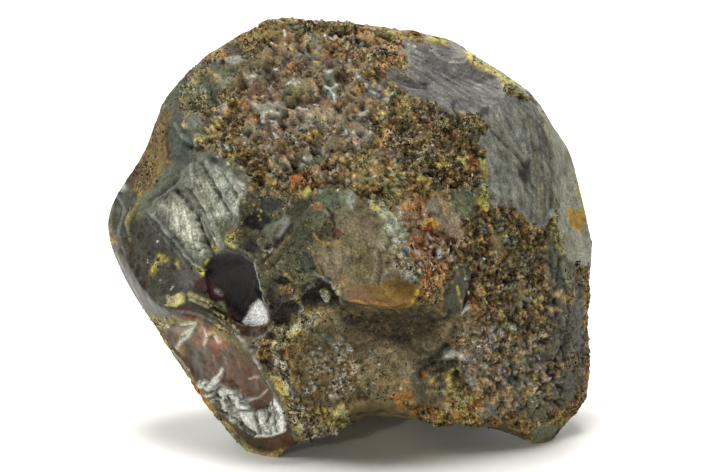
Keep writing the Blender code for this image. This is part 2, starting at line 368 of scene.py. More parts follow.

# Bare stones set in the crust, and the gaps between them, sunk and painted near-black as painted
# shade.
CROWN_STONES = [
    *blobs([
        (172, 96, 5, 16, (72, 76, 62), 0.0), (179, 136, 7, 14, (96, 106, 96), 0.1),
        (188, 122, 12, 9, (88, 98, 88), 0.0), (233, 50, 9, 9, (58, 50, 40), -0.3),
        (235, 60, 9, 4, (120, 116, 106), 0.1), (211, 63, 5, 3, (58, 62, 68), 0.0),
        (225, 82, 7, 5, (98, 100, 86), 0.3), (254, 71, 8, 10, (92, 92, 76), 0.0),
        (222, 111, 8, 7, (128, 116, 108), 0.1), (253, 126, 9, 8, (104, 100, 76), 0.0),
        (285, 41, 17, 9, (108, 92, 64), -0.4), (272, 56, 11, 7, (122, 104, 72), 0.1),
        (289, 59, 7, 8, (58, 60, 46), -0.2), (311, 40, 9, 5, (98, 98, 76), 0.1),
        (313, 50, 11, 5, (54, 56, 52), -0.3), (315, 61, 8, 7, (100, 96, 68), 0.0),
        (331, 84, 8, 12, (100, 108, 90), 0.2), (328, 115, 24, 7, (132, 116, 94), 0.2),
        (326, 103, 24, 5, (98, 78, 52), -0.2), (350, 96, 10, 14, (106, 88, 58), -0.1),
        (358, 137, 14, 8, (116, 106, 92), 0.1), (354, 124, 9, 6, (74, 76, 58), -0.1),
        (378, 88, 13, 10, (56, 58, 54), -0.2), (312, 158, 13, 8, (78, 80, 60), -0.2),
        (280, 165, 11, 7, (90, 90, 68), 0.0), (322, 172, 10, 7, (96, 78, 54), 0.0),
        (350, 176, 14, 8, (104, 88, 62), 0.0),
    ], crust=0.18, rough=0.42, speck=0.05, rust=0.0),
    *blobs([
        (270, 71, 8, 10, (44, 30, 20), -0.7), (256, 90, 7, 11, (88, 60, 44), -0.3),
        (270, 96, 12, 7, (96, 70, 50), 0.0), (296, 92, 14, 12, (100, 96, 62), 0.35),
        (303, 86, 6, 6, (116, 112, 78), 0.1), (343, 76, 8, 7, (42, 28, 16), -1.1),
        (245, 139, 14, 6, (106, 88, 58), 0.0), (383, 154, 12, 4, (78, 64, 64), -0.2),
    ], crust=0.35, rough=0.45, speck=0.1),
    *strokes([
        ([(288, 86), (292, 100)], 1.0, (66, 62, 38), -0.15),
        ([(294, 83), (297, 98)], 1.0, (62, 58, 36), -0.15),
        ([(302, 84), (302, 97)], 1.0, (66, 62, 38), -0.15),
        ([(287, 107), (296, 104), (302, 102)], 3.2, (10, 8, 6), -1.3),
        ([(259, 113), (263, 120), (262, 126)], 3.4, (22, 18, 12), -0.8),
        ([(270, 126), (275, 134)], 3.6, (30, 32, 24), -0.6),
    ], crust=0.3, speck=0.0),
]

CROWN_FLAKE = [
    patch([(249, 102), (262, 106), (274, 102), (284, 103), (290, 110), (280, 117), (268, 118),
          (257, 113)], (116, 112, 98), soft=1.6, wobble=0.4, crust=0.05, rough=0.42, lift=0.7,
          speck=0.0),
    *strokes([
        ([(271, 109), (275, 107), (274, 111)], 1.1, (60, 64, 56), -0.3),
        ([(254, 106), (266, 115), (280, 115)], 1.0, (172, 166, 150), 0.1),
    ], crust=0.05),
]

# Centre, radius and depth of each pit.
PITS = [
    (243, 84, 5.0, 1.6), (214, 99, 6.0, 1.3), (233, 108, 4.5, 1.4), (206, 131, 5.0, 0.9),
    (190, 144, 3.0, 1.0), (258, 156, 4.5, 1.2), (293, 166, 5.5, 1.0), (267, 169, 4.5, 0.9),
    (334, 172, 4.0, 0.9), (323, 46, 3.6, 0.7), (257, 66, 2.2, 0.6), (351, 100, 2.5, 0.5),
    (372, 52, 3.0, 0.6), (300, 120, 3.5, 0.6), (340, 130, 3.0, 0.5), (401, 131, 4.0, 0.6),
    (420, 150, 4.5, 0.8), (442, 142, 5.5, 0.9), (450, 150, 4.0, 0.7), (386, 163, 4.0, 0.6),
    (329, 182, 3.5, 0.8), (338, 182, 5.0, 1.0), (393, 168, 3.5, 0.6), (222, 127, 3.0, 0.6),
    (312, 142, 4.0, 0.5), (232, 70, 3.0, 0.5), (192, 73, 4.0, 0.5), (426, 190, 5.0, 0.7),
]

# Painted shade and highlight: each pit is sunk and painted near-black, with a painted highlight on its
# lower rim; the patch and spot after them are deep holes, sunk and painted near-black as painted
# shade.
CROWN_PITS = [
    *[mark for u, v, radius, deep in PITS
      for mark in (
          spot(u, v, radius, (12, 9, 6), lift=-1.4 * deep, speck=0.0, crust=0.5),
          spot(u, v + radius * 1.25, radius * 0.55, (128, 112, 78), lift=0.3))],
    patch([(335, 30), (346, 27), (352, 32), (345, 37), (336, 36)], (9, 8, 7), soft=1.5, lift=-1.5,
          speck=0.0, crust=0.4),
    spot(329, 82, 5.0, (10, 9, 7), lift=-1.7, speck=0.0, crust=0.3),
]

# Painted highlights: white glints, and lit ridges below holes.
CROWN_GLINTS = [
    *strokes([
        ([(334, 37), (342, 40), (350, 36), (358, 44)], 1.3, (150, 144, 148), 0.5),
        ([(323, 82), (326, 88), (331, 90), (336, 86)], 1.1, (206, 206, 200), 0.4),
        ([(333, 94), (335, 97), (334, 101)], 1.2, (196, 200, 196), 0.2),
        ([(284, 31), (285, 34)], 1.0, (206, 210, 212), 0.2),
        ([(261, 118), (264, 120)], 1.6, (226, 226, 220), 0.2),
        ([(370, 90), (380, 96)], 1.3, (150, 154, 156), 0.3),
        ([(373, 84), (384, 88)], 1.1, (112, 118, 122), 0.2),
        ([(273, 131), (278, 137)], 1.2, (170, 176, 170), 0.2),
        ([(382, 112), (383, 117)], 1.3, (232, 226, 200), 0.2),
        ([(225, 144), (229, 149)], 1.4, (180, 190, 184), 0.2),
        ([(175, 124), (181, 131), (188, 142)], 1.8, (128, 136, 130), 0.4),
    ], crust=0.1, rough=0.15, speck=0.0),
]

CROWN_VEINS = [
    *strokes([
        ([(282, 72), (294, 74), (306, 77), (312, 82), (319, 91)], 1.6, (168, 130, 82), 0.6),
        ([(341, 67), (352, 78), (363, 90)], 1.4, (150, 120, 84), 0.5),
        ([(279, 152), (287, 160), (291, 170), (297, 181), (301, 192)], 1.7, (166, 128, 84), 0.5),
        ([(321, 150), (330, 158), (339, 165)], 2.2, (148, 138, 106), 0.4),
        ([(301, 189), (317, 184), (328, 185)], 1.6, (172, 132, 78), 0.5),
        ([(207, 70), (220, 78)], 1.5, (150, 144, 112), 0.3),
        ([(221, 101), (230, 98), (242, 102)], 2.0, (168, 146, 66), 0.3),
        ([(190, 63), (204, 58), (216, 54)], 3.0, (150, 106, 62), 0.2),
        ([(286, 110), (294, 116), (302, 126)], 1.4, (142, 118, 82), 0.3),
        ([(376, 104), (380, 110), (383, 117)], 2.4, (190, 154, 70), 0.4),
        ([(262, 20), (276, 18), (298, 19)], 2.6, (178, 150, 66), 0.2),
        ([(322, 21), (338, 21), (352, 25)], 2.6, (166, 142, 78), 0.2),
        ([(376, 32), (390, 33), (400, 36), (410, 39)], 2.8, (180, 158, 76), 0.2),
    ], speck=0.9),
]

CROWN_GRAINS = [
    *blobs([
        (308, 24, 9, 3.0, (128, 62, 42), 0.1), (295, 69, 5, 3.0, (128, 58, 38), 0.1),
        (291, 65, 3, 5.0, (176, 112, 58), 0.1), (360, 88, 4, 6.0, (178, 122, 56), 0.2),
        (391, 91, 7, 5.0, (158, 138, 56), 0.3), (409, 64, 7, 6.0, (164, 148, 84), 0.1),
        (388, 53, 12, 4.0, (164, 124, 72), 0.1), (388, 139, 9, 10, (172, 134, 62), 0.2),
        (366, 31, 6, 3.5, (176, 130, 70), 0.1), (312, 134, 9, 3.5, (178, 146, 62), 0.1),
        (234, 154, 8, 3.5, (182, 140, 62), 0.1), (199, 140, 7, 5.0, (172, 150, 66), 0.1),
        (451, 166, 13, 7.0, (176, 146, 70), 0.2), (467, 128, 8, 6.0, (168, 158, 84), 0.2),
        (474, 158, 5, 14, (158, 96, 52), 0.1), (428, 114, 14, 6.0, (138, 108, 84), 0.1),
        (300, 178, 14, 7.0, (158, 92, 42), 0.0), (276, 186, 9, 5.0, (184, 146, 70), 0.1),
        (252, 180, 8, 6.0, (168, 154, 84), 0.1), (310, 194, 7, 6.0, (178, 170, 96), 0.2),
        (426, 178, 8, 5.0, (176, 156, 76), 0.2), (484, 196, 4, 12, (182, 164, 74), 0.1),
    ], speck=1.1, rust=0.5),
    spot(254, 119, 3.4, (214, 130, 34), speck=0.9, rust=0.6),
    spot(222, 54, 2.6, (236, 132, 16), crust=0.2, rough=0.3),
    spot(218, 52, 2.6, (200, 140, 50), crust=0.6, speck=0.6),
    spot(224, 57, 1.8, (180, 50, 15), crust=0.2, rough=0.3),
]

HOLLOW_FLOOR = [
    patch([(300, 322), (330, 308), (380, 312), (430, 305), (452, 300), (458, 330), (446, 360),
          (425, 390), (400, 403), (372, 400), (350, 400), (330, 408), (308, 412), (294, 400),
          (286, 370), (290, 345)], (102, 88, 60), soft=5, crust=0.42, speck=0.12, rust=0.15,
          rough=0.42),
    # Painted shadow: the dark top of the hollow, under the overhanging lobe.
    patch([(338, 306), (380, 312), (432, 305), (446, 318), (436, 338), (404, 348), (368, 340),
          (344, 330)], (30, 26, 17), soft=10, speck=0.05, rust=0.2),
    patch([(360, 345), (396, 350), (420, 362), (412, 392), (372, 396), (356, 378)], (108, 98, 72),
          soft=8, crust=0.3),
    *sprinkle((352, 362, 46, 32), 90, 2.2, [(66, 56, 38), (88, 74, 50), (52, 42, 30)], 51,
              lift=-0.12),
    # Painted highlights: small white glints strewn in the hollow.
    *sprinkle((337, 368, 30, 30), 160, 0.9, [(216, 212, 196), (176, 168, 140)], 52, lift=0.05,
              rough=0.2),
    *sprinkle((385, 370, 30, 24), 40, 1.0, [(196, 190, 168), (168, 128, 74)], 53, lift=0.15),
    patch([(312, 330), (334, 326), (336, 344), (316, 346)], (78, 82, 62), soft=6),
]

HOLLOW_RIM = [
    patch([(275, 333), (284, 325), (302, 317), (318, 309), (328, 312), (312, 326), (294, 337),
          (287, 351), (289, 366), (293, 385), (298, 403), (313, 414), (302, 421), (292, 419),
          (285, 405), (279, 388), (274, 371), (274, 351)], (232, 190, 126), soft=4, crust=0.8,
          speck=0.8, rust=0.4, lift=0.3),
    *blobs([
        (284, 319, 9, 5, (22, 16, 10), -0.5), (271, 336, 5, 5, (20, 16, 12), -0.5),
        (269, 368, 5, 4, (46, 30, 36), -0.3), (282, 352, 4, 5, (70, 46, 22), -0.2),
        (309, 390, 5, 3, (190, 184, 160), 0.1),
    ], crust=0.5, speck=0.1),
    stroke([(269, 374), (277, 382), (281, 392), (288, 404), (295, 418), (302, 427)], 1.5,
          (160, 142, 56), lift=0.25, speck=0.8),
    patch([(300, 420), (312, 412), (334, 408), (350, 404), (350, 416), (334, 432), (312, 440),
          (296, 440)], (242, 198, 124), soft=4, speck=0.75, rust=0.5, lift=0.2),
    stroke([(353, 408), (344, 423), (327, 436), (302, 445)], 1.6, (176, 150, 128), lift=0.3),
    patch([(350, 404), (372, 399), (398, 403), (414, 414), (423, 424), (410, 420), (386, 419),
          (361, 419), (348, 424)], (128, 112, 78), soft=2, rough=0.4, **GLASSY),
    stroke([(356, 414), (380, 411), (408, 416)], 1.2, (60, 50, 36), lift=-0.2),
    patch([(258, 362), (270, 376), (284, 404), (298, 432), (294, 440), (284, 420), (272, 396),
          (256, 372)], (104, 106, 90), soft=2, rough=0.4, crust=0.3),
]

RIGHT_CRUST = [
    patch([(448, 262), (470, 222), (486, 208), (520, 214), (556, 240), (590, 250), (594, 300),
          (590, 400), (560, 430), (500, 430), (430, 424), (420, 400), (446, 360), (456, 320)],
          (116, 100, 64), soft=6, speck=0.3, rust=0.4, rough=0.5),
    patch([(500, 345), (530, 335), (556, 328), (586, 344), (589, 372), (582, 394), (556, 414),
          (528, 421), (506, 408), (500, 375)], (94, 88, 68), soft=6, crust=0.55, speck=0.2,
          rust=0.15, rough=0.42),
    patch([(462, 318), (492, 326), (498, 350), (500, 388), (478, 394), (464, 380)], (122, 112, 96),
          soft=6, crust=0.6, speck=0.12, rust=0.15),
    patch([(548, 238), (572, 262), (582, 290), (578, 330), (574, 352), (556, 350), (550, 310),
          (546, 270)], (86, 88, 74), soft=4, crust=0.35, speck=0.25, rust=0.0),
    *strokes([
        ([(556, 246), (564, 275), (570, 310), (566, 345)], 1.4, (34, 34, 28), -0.5),
        ([(549, 250), (554, 285), (556, 330)], 1.3, (40, 38, 30), -0.4),
        ([(562, 262), (572, 290), (574, 325)], 1.6, (140, 138, 108), 0.4),
        ([(575, 300), (572, 330), (560, 352), (549, 372)], 1.4, (44, 42, 34), -0.5),
        ([(524, 300), (530, 320), (526, 340)], 1.3, (40, 34, 26), -0.4),
        ([(484, 250), (492, 280), (488, 310)], 1.4, (52, 42, 32), -0.3),
        ([(508, 262), (516, 284), (512, 312)], 1.4, (58, 48, 36), -0.3),
        ([(536, 392), (548, 380), (566, 376)], 1.2, (44, 42, 36), -0.4),
        ([(500, 345), (504, 372), (500, 398)], 1.6, (40, 38, 32), -0.4),
        ([(516, 352), (522, 378), (516, 402)], 1.0, (120, 118, 104), 0.3),
    ], speck=0.05),
]

# Smoother grey plates in the right-hand crust.
RIGHT_SLATES = [
    patch([(500, 363), (515, 365), (516, 390), (503, 391)], (74, 78, 74), **SLATE),
    patch([(475, 399), (499, 397), (498, 418), (480, 422)], (90, 93, 88), **SLATE),
    patch([(527, 349), (548, 350), (546, 364), (528, 363)], (56, 54, 47), **SLATE),
    patch([(546, 374), (576, 376), (574, 397), (548, 398)], (86, 84, 74), **SLATE),
    patch([(415, 378), (446, 376), (448, 402), (430, 408), (414, 404)], (88, 88, 76), **SLATE),
    patch([(464, 362), (500, 364), (498, 388), (472, 390)], (122, 112, 96), soft=6, crust=0.7,
          speck=0.1),
    patch([(570, 300), (584, 310), (586, 350), (574, 352)], (70, 72, 68), **SLATE),
    patch([(420, 344), (452, 340), (456, 372), (450, 404), (420, 404), (412, 376)], (84, 80, 62),
          soft=5, crust=0.5, speck=0.15, rust=0.1),
]

# Cracks, sunk and painted near-black as painted shade, and two ridges beside them.
RIGHT_CRACKS = [
    *[stroke(path, width * 1.4, (8, 7, 6), lift=-deep, speck=0.0, crust=0.0, rough=0.2)
      for path, width, deep in [
            ([(420, 376), (426, 364), (434, 356), (448, 350)], 2.6, 1.0),
            ([(432, 364), (444, 362), (456, 362)], 2.4, 0.8),
            ([(452, 368), (458, 378), (466, 388), (472, 394)], 2.6, 1.2),
            ([(430, 372), (444, 368), (454, 374)], 2.0, 0.7),
            ([(458, 320), (452, 336), (442, 350)], 3.0, 0.5),
            ([(512, 250), (500, 268), (494, 290)], 1.6, 0.5),
            ([(560, 255), (556, 300), (566, 360)], 1.8, 0.5),
        ]],
    stroke([(446, 356), (456, 352), (464, 358)], 3.2, (214, 214, 204), lift=0.5, crust=0.3,
          rough=0.15),
    stroke([(449, 374), (450, 386), (457, 397), (471, 400), (484, 395)], 2.4, (206, 188, 104),
          lift=0.4, speck=0.8),
]

RIGHT_GRAINS = [
    spot(425, 375, 2.4, (176, 104, 46), rough=0.3),
    spot(416, 413, 4, (206, 134, 50), speck=0.8),
    *[patch(outline, (166, 118, 58), soft=4, speck=0.85, rust=0.6)
      for outline in [
            [(392, 394), (408, 392), (410, 406), (396, 408)],
            [(428, 408), (448, 410), (446, 424), (430, 424)],
            [(454, 402), (478, 404), (476, 424), (456, 424)],
        ]],
    stroke([(587, 270), (588, 300), (587, 330)], 3.0, (190, 132, 56), speck=0.7, rust=0.4),
    stroke([(590, 365), (590, 385), (584, 402), (572, 418)], 4.0, (186, 118, 46), speck=0.7,
          rust=0.6),
    *[spot(u, v, radius, colour, crust=0.8, speck=0.5)
      for u, v, radius, colour in [
            (567, 297, 5, (214, 160, 84)), (543, 337, 5, (204, 160, 106)),
            (493, 356, 4, (160, 126, 84)), (560, 417, 6, (196, 158, 62)),
            (556, 325, 3, (190, 140, 70)), (476, 304, 5, (176, 120, 56)),
        ]],
]

RIGHT_FOOT = [
    patch([(531, 430), (545, 424), (560, 424), (556, 436), (544, 447), (534, 442)], (100, 104, 80),
          soft=2, rough=0.3, **GLASSY),
    patch([(478, 427), (500, 424), (528, 434), (530, 441), (505, 434)], (84, 72, 54), soft=2,
          rough=0.4, **GLASSY),
]

LEFT_CORNER = [
    patch([(100, 246), (106, 200), (124, 180), (140, 168), (150, 120), (166, 108), (184, 120),
          (198, 150), (230, 160), (256, 186), (246, 210), (250, 250), (212, 262), (206, 290),
          (196, 316), (150, 322), (110, 262)], (66, 68, 54), soft=3, crust=0.12, speck=0.15,
          rust=0.0, rough=0.45),
    patch([(158, 116), (171, 112), (168, 138), (171, 162), (150, 190), (140, 200), (132, 190),
          (140, 168), (146, 150)], (104, 84, 42), soft=2.5, crust=0.5, speck=0.35, rust=0.4,
          rough=0.4),
    patch([(124, 183), (138, 163), (144, 168), (130, 188)], (46, 24, 8), soft=2, crust=0.3),
    patch([(100, 246), (104, 206), (118, 182), (136, 192), (136, 215), (128, 252), (116, 262)],
          (40, 44, 32), soft=3, rough=0.25, **GLASSY),
    patch([(166, 118), (178, 108), (188, 125), (196, 150), (190, 163), (172, 160), (166, 140)],
          (62, 66, 58), soft=3, crust=0.15, rough=0.45, speck=0.1),
    patch([(139, 204), (150, 188), (160, 172), (176, 158), (190, 160), (184, 174), (168, 188),
          (152, 200), (146, 214), (136, 218)], (78, 82, 68), soft=2.5, rough=0.5, **GLASSY),
]

FAN_OUTLINE = [(150, 210), (172, 190), (190, 164), (222, 158), (250, 188), (236, 228), (203, 260),
               (196, 270), (166, 230)]


def fan_sheen_and_frost(skin):
    """Streaks of painted sheen that spread from the fan's top, and frost over it."""
    fan = skin.inside(FAN_OUTLINE, 3)
    frost = layered_noise(skin.points, 1.1, 3, SEED + 41, 0.9)
    skin.shade(fan * (0.6 * skin.rays(178, 140, 44, SEED + 42) + 1.1 * frost))
    skin.height += fan * 0.25 * frost

# The silvery fan of ripples; its bright panels are partly painted sheen.
FAN = [
    patch([(150, 212), (160, 199), (173, 190), (190, 163), (202, 152), (222, 156), (241, 176),
          (250, 188), (242, 204), (236, 228), (230, 244), (212, 254), (203, 260), (197, 270),
          (180, 246), (164, 228)], (84, 86, 76), soft=2.5, rough=0.42, lift=0.1, **GLASSY),
    patch([(164, 206), (182, 196), (200, 222), (208, 248), (196, 258), (180, 238)], (150, 152, 138),
          soft=6, rough=0.36),
    patch([(190, 180), (202, 176), (222, 210), (230, 238), (214, 248), (202, 216)], (140, 144, 130),
          soft=5),
    patch([(226, 174), (246, 182), (246, 198), (236, 206)], (150, 153, 138), soft=4),
    patch([(204, 168), (218, 166), (242, 206), (230, 240), (214, 208)], (142, 146, 134), soft=4),
    fan_sheen_and_frost,
    patch([(214, 222), (234, 214), (236, 236), (222, 246)], (72, 76, 60), soft=4, crust=0.3,
          speck=0.3),
]

DARK_FACET = [
    patch([(136, 220), (146, 216), (156, 226), (174, 244), (190, 264), (196, 276), (190, 292),
          (166, 300), (146, 292), (130, 262), (130, 234)], (40, 41, 34), soft=3, rough=0.35,
          lift=-0.3, crust=0.2, speck=0.1, rust=0.0),
    patch([(182, 262), (194, 268), (196, 288), (182, 290), (176, 276)], (66, 64, 60), soft=4,
          crust=0.3),
    stroke([(129, 232), (134, 262), (146, 285)], 4, (52, 34, 22), rough=0.4),
    patch([(108, 246), (118, 246), (132, 262), (144, 286), (156, 302), (176, 306), (194, 300),
          (222, 318), (212, 324), (197, 318), (174, 321), (156, 322), (141, 311), (128, 292),
          (114, 268)], (48, 44, 37), soft=2.5, rough=0.4, lift=0.2, **GLASSY),
]

# The fan's ridges and furrows, and the lines along the left edge. Light strokes on the ridges are
# partly painted highlight, and dark strokes in the furrows and beside the ridges are painted shade.
LEFT_LINES = [
    *strokes([
        ([(112, 205), (110, 240), (116, 258)], 1.2, (120, 108, 66), 0.2),
        ([(118, 196), (124, 210), (118, 235)], 1.2, (100, 104, 92), 0.2),
        ([(131, 208), (127, 222), (130, 240)], 1.2, (120, 124, 100), 0.3),
        ([(139, 200), (133, 214), (128, 224)], 1.8, (130, 118, 60), 0.3),
        ([(176, 126), (181, 133), (188, 143)], 2.0, (128, 134, 128), 0.5),
        ([(187, 143), (191, 150)], 2.2, (14, 13, 10), -0.8),
        ([(168, 128), (166, 146), (170, 160)], 1.6, (50, 46, 34), -0.3),
        ([(190, 162), (185, 175), (172, 184), (160, 194), (149, 201)], 1.6, (52, 55, 48), -0.6),
        ([(190, 164), (175, 187), (158, 200), (148, 212)], 1.4, (116, 118, 106), 0.35),
        ([(191, 164), (192, 178), (200, 196)], 1.4, (130, 132, 124), 0.3),
        ([(177, 190), (187, 201), (196, 215), (203, 232), (211, 251)], 1.9, (22, 23, 18), -1.0),
        ([(173, 194), (183, 204), (192, 218), (199, 235), (205, 250)], 1.6, (124, 126, 110), 0.4),
        ([(190, 190), (204, 212), (214, 236)], 1.1, (44, 46, 40), -0.4),
        ([(195, 184), (206, 200), (216, 222), (222, 244)], 1.4, (108, 110, 100), 0.35),
        ([(204, 222), (211, 236), (216, 250)], 1.0, (40, 42, 36), -0.4),
        ([(201, 164), (212, 182), (222, 200), (231, 216)], 1.7, (40, 43, 38), -0.7),
        ([(207, 162), (218, 180), (228, 198), (235, 210)], 1.5, (130, 134, 122), 0.4),
        ([(222, 172), (230, 184), (237, 197)], 1.2, (70, 73, 64), -0.3),
        ([(230, 172), (238, 184), (243, 196)], 2.2, (140, 143, 132), 0.35),
        ([(212, 158), (216, 162)], 2.4, (30, 32, 28), -0.5),
        # Painted shadow: a dark band beside the ridge that follows.
        ([(158, 219), (172, 238), (188, 259)], 4.2, (44, 48, 45), -0.45),
        ([(149, 211), (160, 224), (173, 240), (186, 257), (199, 272)], 1.4, (134, 136, 126), 0.7),
        ([(146, 216), (160, 234), (176, 252), (188, 268)], 1.0, (84, 88, 80), 0.3),
        ([(196, 240), (206, 243), (210, 238)], 1.0, (46, 48, 40), -0.3),
        ([(188, 248), (198, 250), (206, 247)], 1.0, (52, 54, 46), -0.3),
        ([(117, 252), (130, 275), (140, 296)], 1.2, (110, 106, 94), 0.25),
        ([(122, 250), (136, 272), (148, 296), (166, 308)], 1.4, (34, 32, 26), -0.35),
        ([(150, 298), (170, 311), (196, 314), (216, 322)], 1.3, (108, 108, 98), 0.3),
        ([(156, 303), (176, 314), (200, 316)], 1.2, (36, 34, 26), -0.3),
        ([(178, 308), (192, 310)], 2.0, (66, 24, 12), 0.0),
        ([(170, 318), (186, 316), (200, 318)], 1.4, (96, 52, 24), 0.0),
    ]),
    spot(123, 188, 3.4, (190, 190, 190), rough=0.25, crust=0.0),
    spot(113, 241, 4.0, (170, 122, 54), speck=0.6, crust=0.5),
    stroke([(171, 250), (174, 243)], 1.3, (10, 9, 7), lift=-0.6),
]

LEFT_CRUMBS = [
    *[stroke(path, width, (176, 166, 78), **YELLOW_CRUMB)
      for path, width in [
            ([(151, 272), (155, 263), (164, 258)], 3.2), ([(176, 261), (177, 267)], 1.8),
            ([(158, 256), (166, 259)], 2.4), ([(228, 236), (236, 233)], 3.0),
            ([(232, 245), (228, 241)], 2.6), ([(212, 246), (216, 250)], 2.4),
            ([(197, 270), (204, 275)], 3.0), ([(241, 230), (234, 238)], 2.2),
        ]],
    patch([(166, 297), (176, 293), (187, 294), (186, 303), (176, 306), (166, 302)], (190, 184, 116),
          soft=1.5, crust=0.7, speck=0.8, lift=0.5, rough=0.7),
    patch([(192, 280), (206, 277), (209, 290), (202, 296), (193, 290)], (44, 14, 10), soft=2,
          rough=0.2, lift=-0.2, **GLASSY),
]

SCAR_OUTLINE = [(404, 40), (436, 54), (468, 58), (506, 84), (506, 96), (474, 110), (404, 90)]

FACET_OUTLINE = [(484, 104), (534, 104), (552, 150), (556, 220), (520, 210), (486, 200)]

# The pale purple-grey scar at the upper right.
SCAR = [
    patch([(404, 36), (427, 45), (436, 54), (448, 60), (460, 61), (468, 56), (478, 66), (494, 70),
          (504, 82), (508, 96), (491, 105), (480, 104), (473, 112), (457, 116), (446, 111),
          (435, 105), (421, 99), (409, 96), (402, 88), (414, 82), (404, 72), (408, 60), (404, 48)],
          (93, 92, 90), soft=3, rough=0.5, ripple=1.0, **GLASSY),
    patch([(470, 84), (500, 84), (504, 98), (480, 103)], (111, 110, 105), soft=8),
    patch([(386, 68), (404, 74), (426, 84), (432, 82), (424, 90), (402, 88), (388, 78)],
          (82, 82, 80), soft=2, rough=0.4, crust=0.1, speck=0.0),
    grained(SCAR_OUTLINE, (340, 20, 60, SEED + 47), 0.8, (2.2, 3, SEED + 48, 0.7), 0.5),
    *[stroke(path, 1.2, (52, 52, 50), lift=-0.4)
      for path in [
            [(386, 70), (400, 77), (416, 84), (430, 84)], [(392, 78), (408, 86), (426, 89)],
            [(388, 74), (404, 81), (420, 87)],
        ]],
]

SMALL_SCAR = [
    patch([(424, 31), (433, 36), (443, 41), (449, 39), (458, 39), (466, 44), (469, 54), (460, 62),
          (450, 61), (439, 56), (431, 48), (424, 40)], (112, 107, 98), soft=2, rough=0.5, lift=0.1,
          **GLASSY),
    patch([(434, 38), (446, 44), (456, 54), (450, 61), (438, 54)], (62, 58, 54), soft=4),
    patch([(421, 45), (441, 58), (444, 66), (426, 66)], (70, 68, 66), soft=5),
    stroke([(432, 49), (440, 57), (450, 61), (460, 62), (468, 57)], 1.3, (150, 146, 138),
          lift=-0.25),
    stroke([(431, 37), (437, 40), (444, 42)], 3.0, (222, 208, 60), crust=0.7, speck=0.8, lift=0.3),
    stroke([(469, 54), (473, 61), (481, 66), (494, 70), (503, 79), (512, 84)], 3.4, (206, 184, 76),
          crust=0.35, speck=0.5, lift=0.3),
    stroke([(478, 58), (496, 66), (510, 76), (524, 88)], 3.0, (206, 198, 140), crust=0.3),
]

RIGHT_FACET = [
    patch([(506, 94), (534, 102), (543, 122), (552, 148), (556, 183), (555, 214), (546, 228),
          (530, 227), (517, 208), (506, 205), (489, 207), (483, 190), (482, 170), (480, 160),
          (482, 137), (489, 126), (480, 118), (473, 112), (476, 104), (494, 103)], (124, 125, 117),
          soft=2.5, rough=0.42, ripple=0.9, **GLASSY),
    patch([(476, 106), (490, 105), (488, 118), (478, 118)], (70, 66, 62), soft=2),
    *[stroke([(532 + shift, 116), (538 + shift, 160), (541 + shift, 190), (540 + shift, 222)], 1.3,
      colour)
      for shift, colour in [
            (-9, (72, 72, 64)), (-4, (98, 94, 74)), (0, (110, 100, 72)), (4, (78, 78, 66)),
            (8, (104, 102, 86)),
        ]],
    stroke([(543, 124), (550, 150), (552, 180), (551, 208)], 2.6, (56, 52, 44), lift=-0.3),
    patch([(517, 158), (531, 164), (530, 184), (520, 180)], (56, 55, 52), soft=4, lift=-0.2),
    patch([(493, 192), (509, 196), (508, 206), (494, 205)], (134, 133, 126), soft=3, lift=0.2),
    *[stroke(path, 1.1, (120, 120, 112), lift=0.25)
      for path in [
            [(490, 128), (506, 144), (524, 160)], [(486, 170), (500, 186), (514, 202)],
            [(500, 150), (512, 156), (524, 170)],
        ]],
    stroke([(492, 132), (508, 148), (524, 163)], 1.1, (52, 52, 48), lift=-0.25),
    grained(FACET_OUTLINE, (470, 60, 30, SEED + 49), 0.5, (1.8, 3, SEED + 46, 0.8), 0.6),
]

FAR_FACET = [
    patch([(536, 100), (552, 122), (572, 148), (581, 180), (587, 210), (593, 240), (595, 262),
          (586, 266), (570, 262), (560, 246), (557, 215), (556, 182), (553, 150), (545, 124)],
          (154, 154, 138), soft=2.5, rough=0.45, ripple=0.6, **GLASSY),
    patch([(566, 212), (570, 208), (585, 209), (587, 218), (583, 233), (577, 231), (571, 226)],
          (180, 146, 66), soft=1.5, wobble=0.4, rough=0.5, **GLASSY),
    stroke([(577, 189), (580, 198)], 2.2, (196, 176, 80)),
    stroke([(555, 216), (552, 226), (556, 240), (562, 252)], 2.2, (196, 190, 96), lift=0.2,
          speck=0.6),
    stroke([(506, 90), (516, 92), (526, 98)], 4.0, (120, 116, 60), crust=0.9, speck=0.8, lift=0.3),
    stroke([(482, 150), (484, 176), (486, 206)], 3.0, (170, 150, 60), crust=0.9, speck=0.9,
          lift=0.2),
]

GREEN_FACET = [
    patch([(240, 200), (262, 186), (300, 200), (322, 184), (350, 184), (372, 200), (392, 226),
          (398, 262), (420, 282), (410, 306), (330, 308), (262, 300), (246, 262)], (56, 56, 44),
          soft=3, crust=0.5, speck=0.12, rust=0.0, rough=0.42),
    patch([(241, 203), (252, 192), (270, 189), (286, 194), (300, 212), (290, 222), (276, 238),
          (262, 252), (254, 262), (246, 250), (236, 244), (238, 222)], (54, 54, 40), soft=3,
          crust=0.35, rough=0.4, speck=0.45, rust=0.0),
    *blobs([
        (258, 220, 12, 10, (16, 16, 13), -0.4), (275, 230, 12, 9, (84, 86, 68), 0.1),
        (284, 222, 6, 5, (104, 108, 96), 0.2), (270, 204, 12, 6, (40, 42, 40), -0.1),
        (250, 246, 8, 5, (22, 20, 16), -0.4), (294, 205, 2, 2, (64, 80, 96), 0.1),
    ], crust=0.1, rough=0.38, speck=0.0),
    patch([(298, 214), (312, 204), (322, 199), (336, 205), (330, 225), (315, 237), (312, 250),
          (322, 272), (312, 282), (292, 280), (272, 290), (262, 300), (257, 290), (258, 272),
          (275, 255), (290, 238)], (60, 61, 46), soft=2.5, rough=0.45, crust=0.5, speck=0.12,
          rust=0.0),
    *blobs([
        (306, 262, 8, 12, (48, 54, 48), -0.1), (286, 262, 10, 12, (66, 68, 52), 0.0),
        (318, 216, 12, 9, (72, 75, 60), 0.1), (272, 286, 10, 10, (48, 49, 40), 0.0),
    ], crust=0.35, rough=0.42),
]

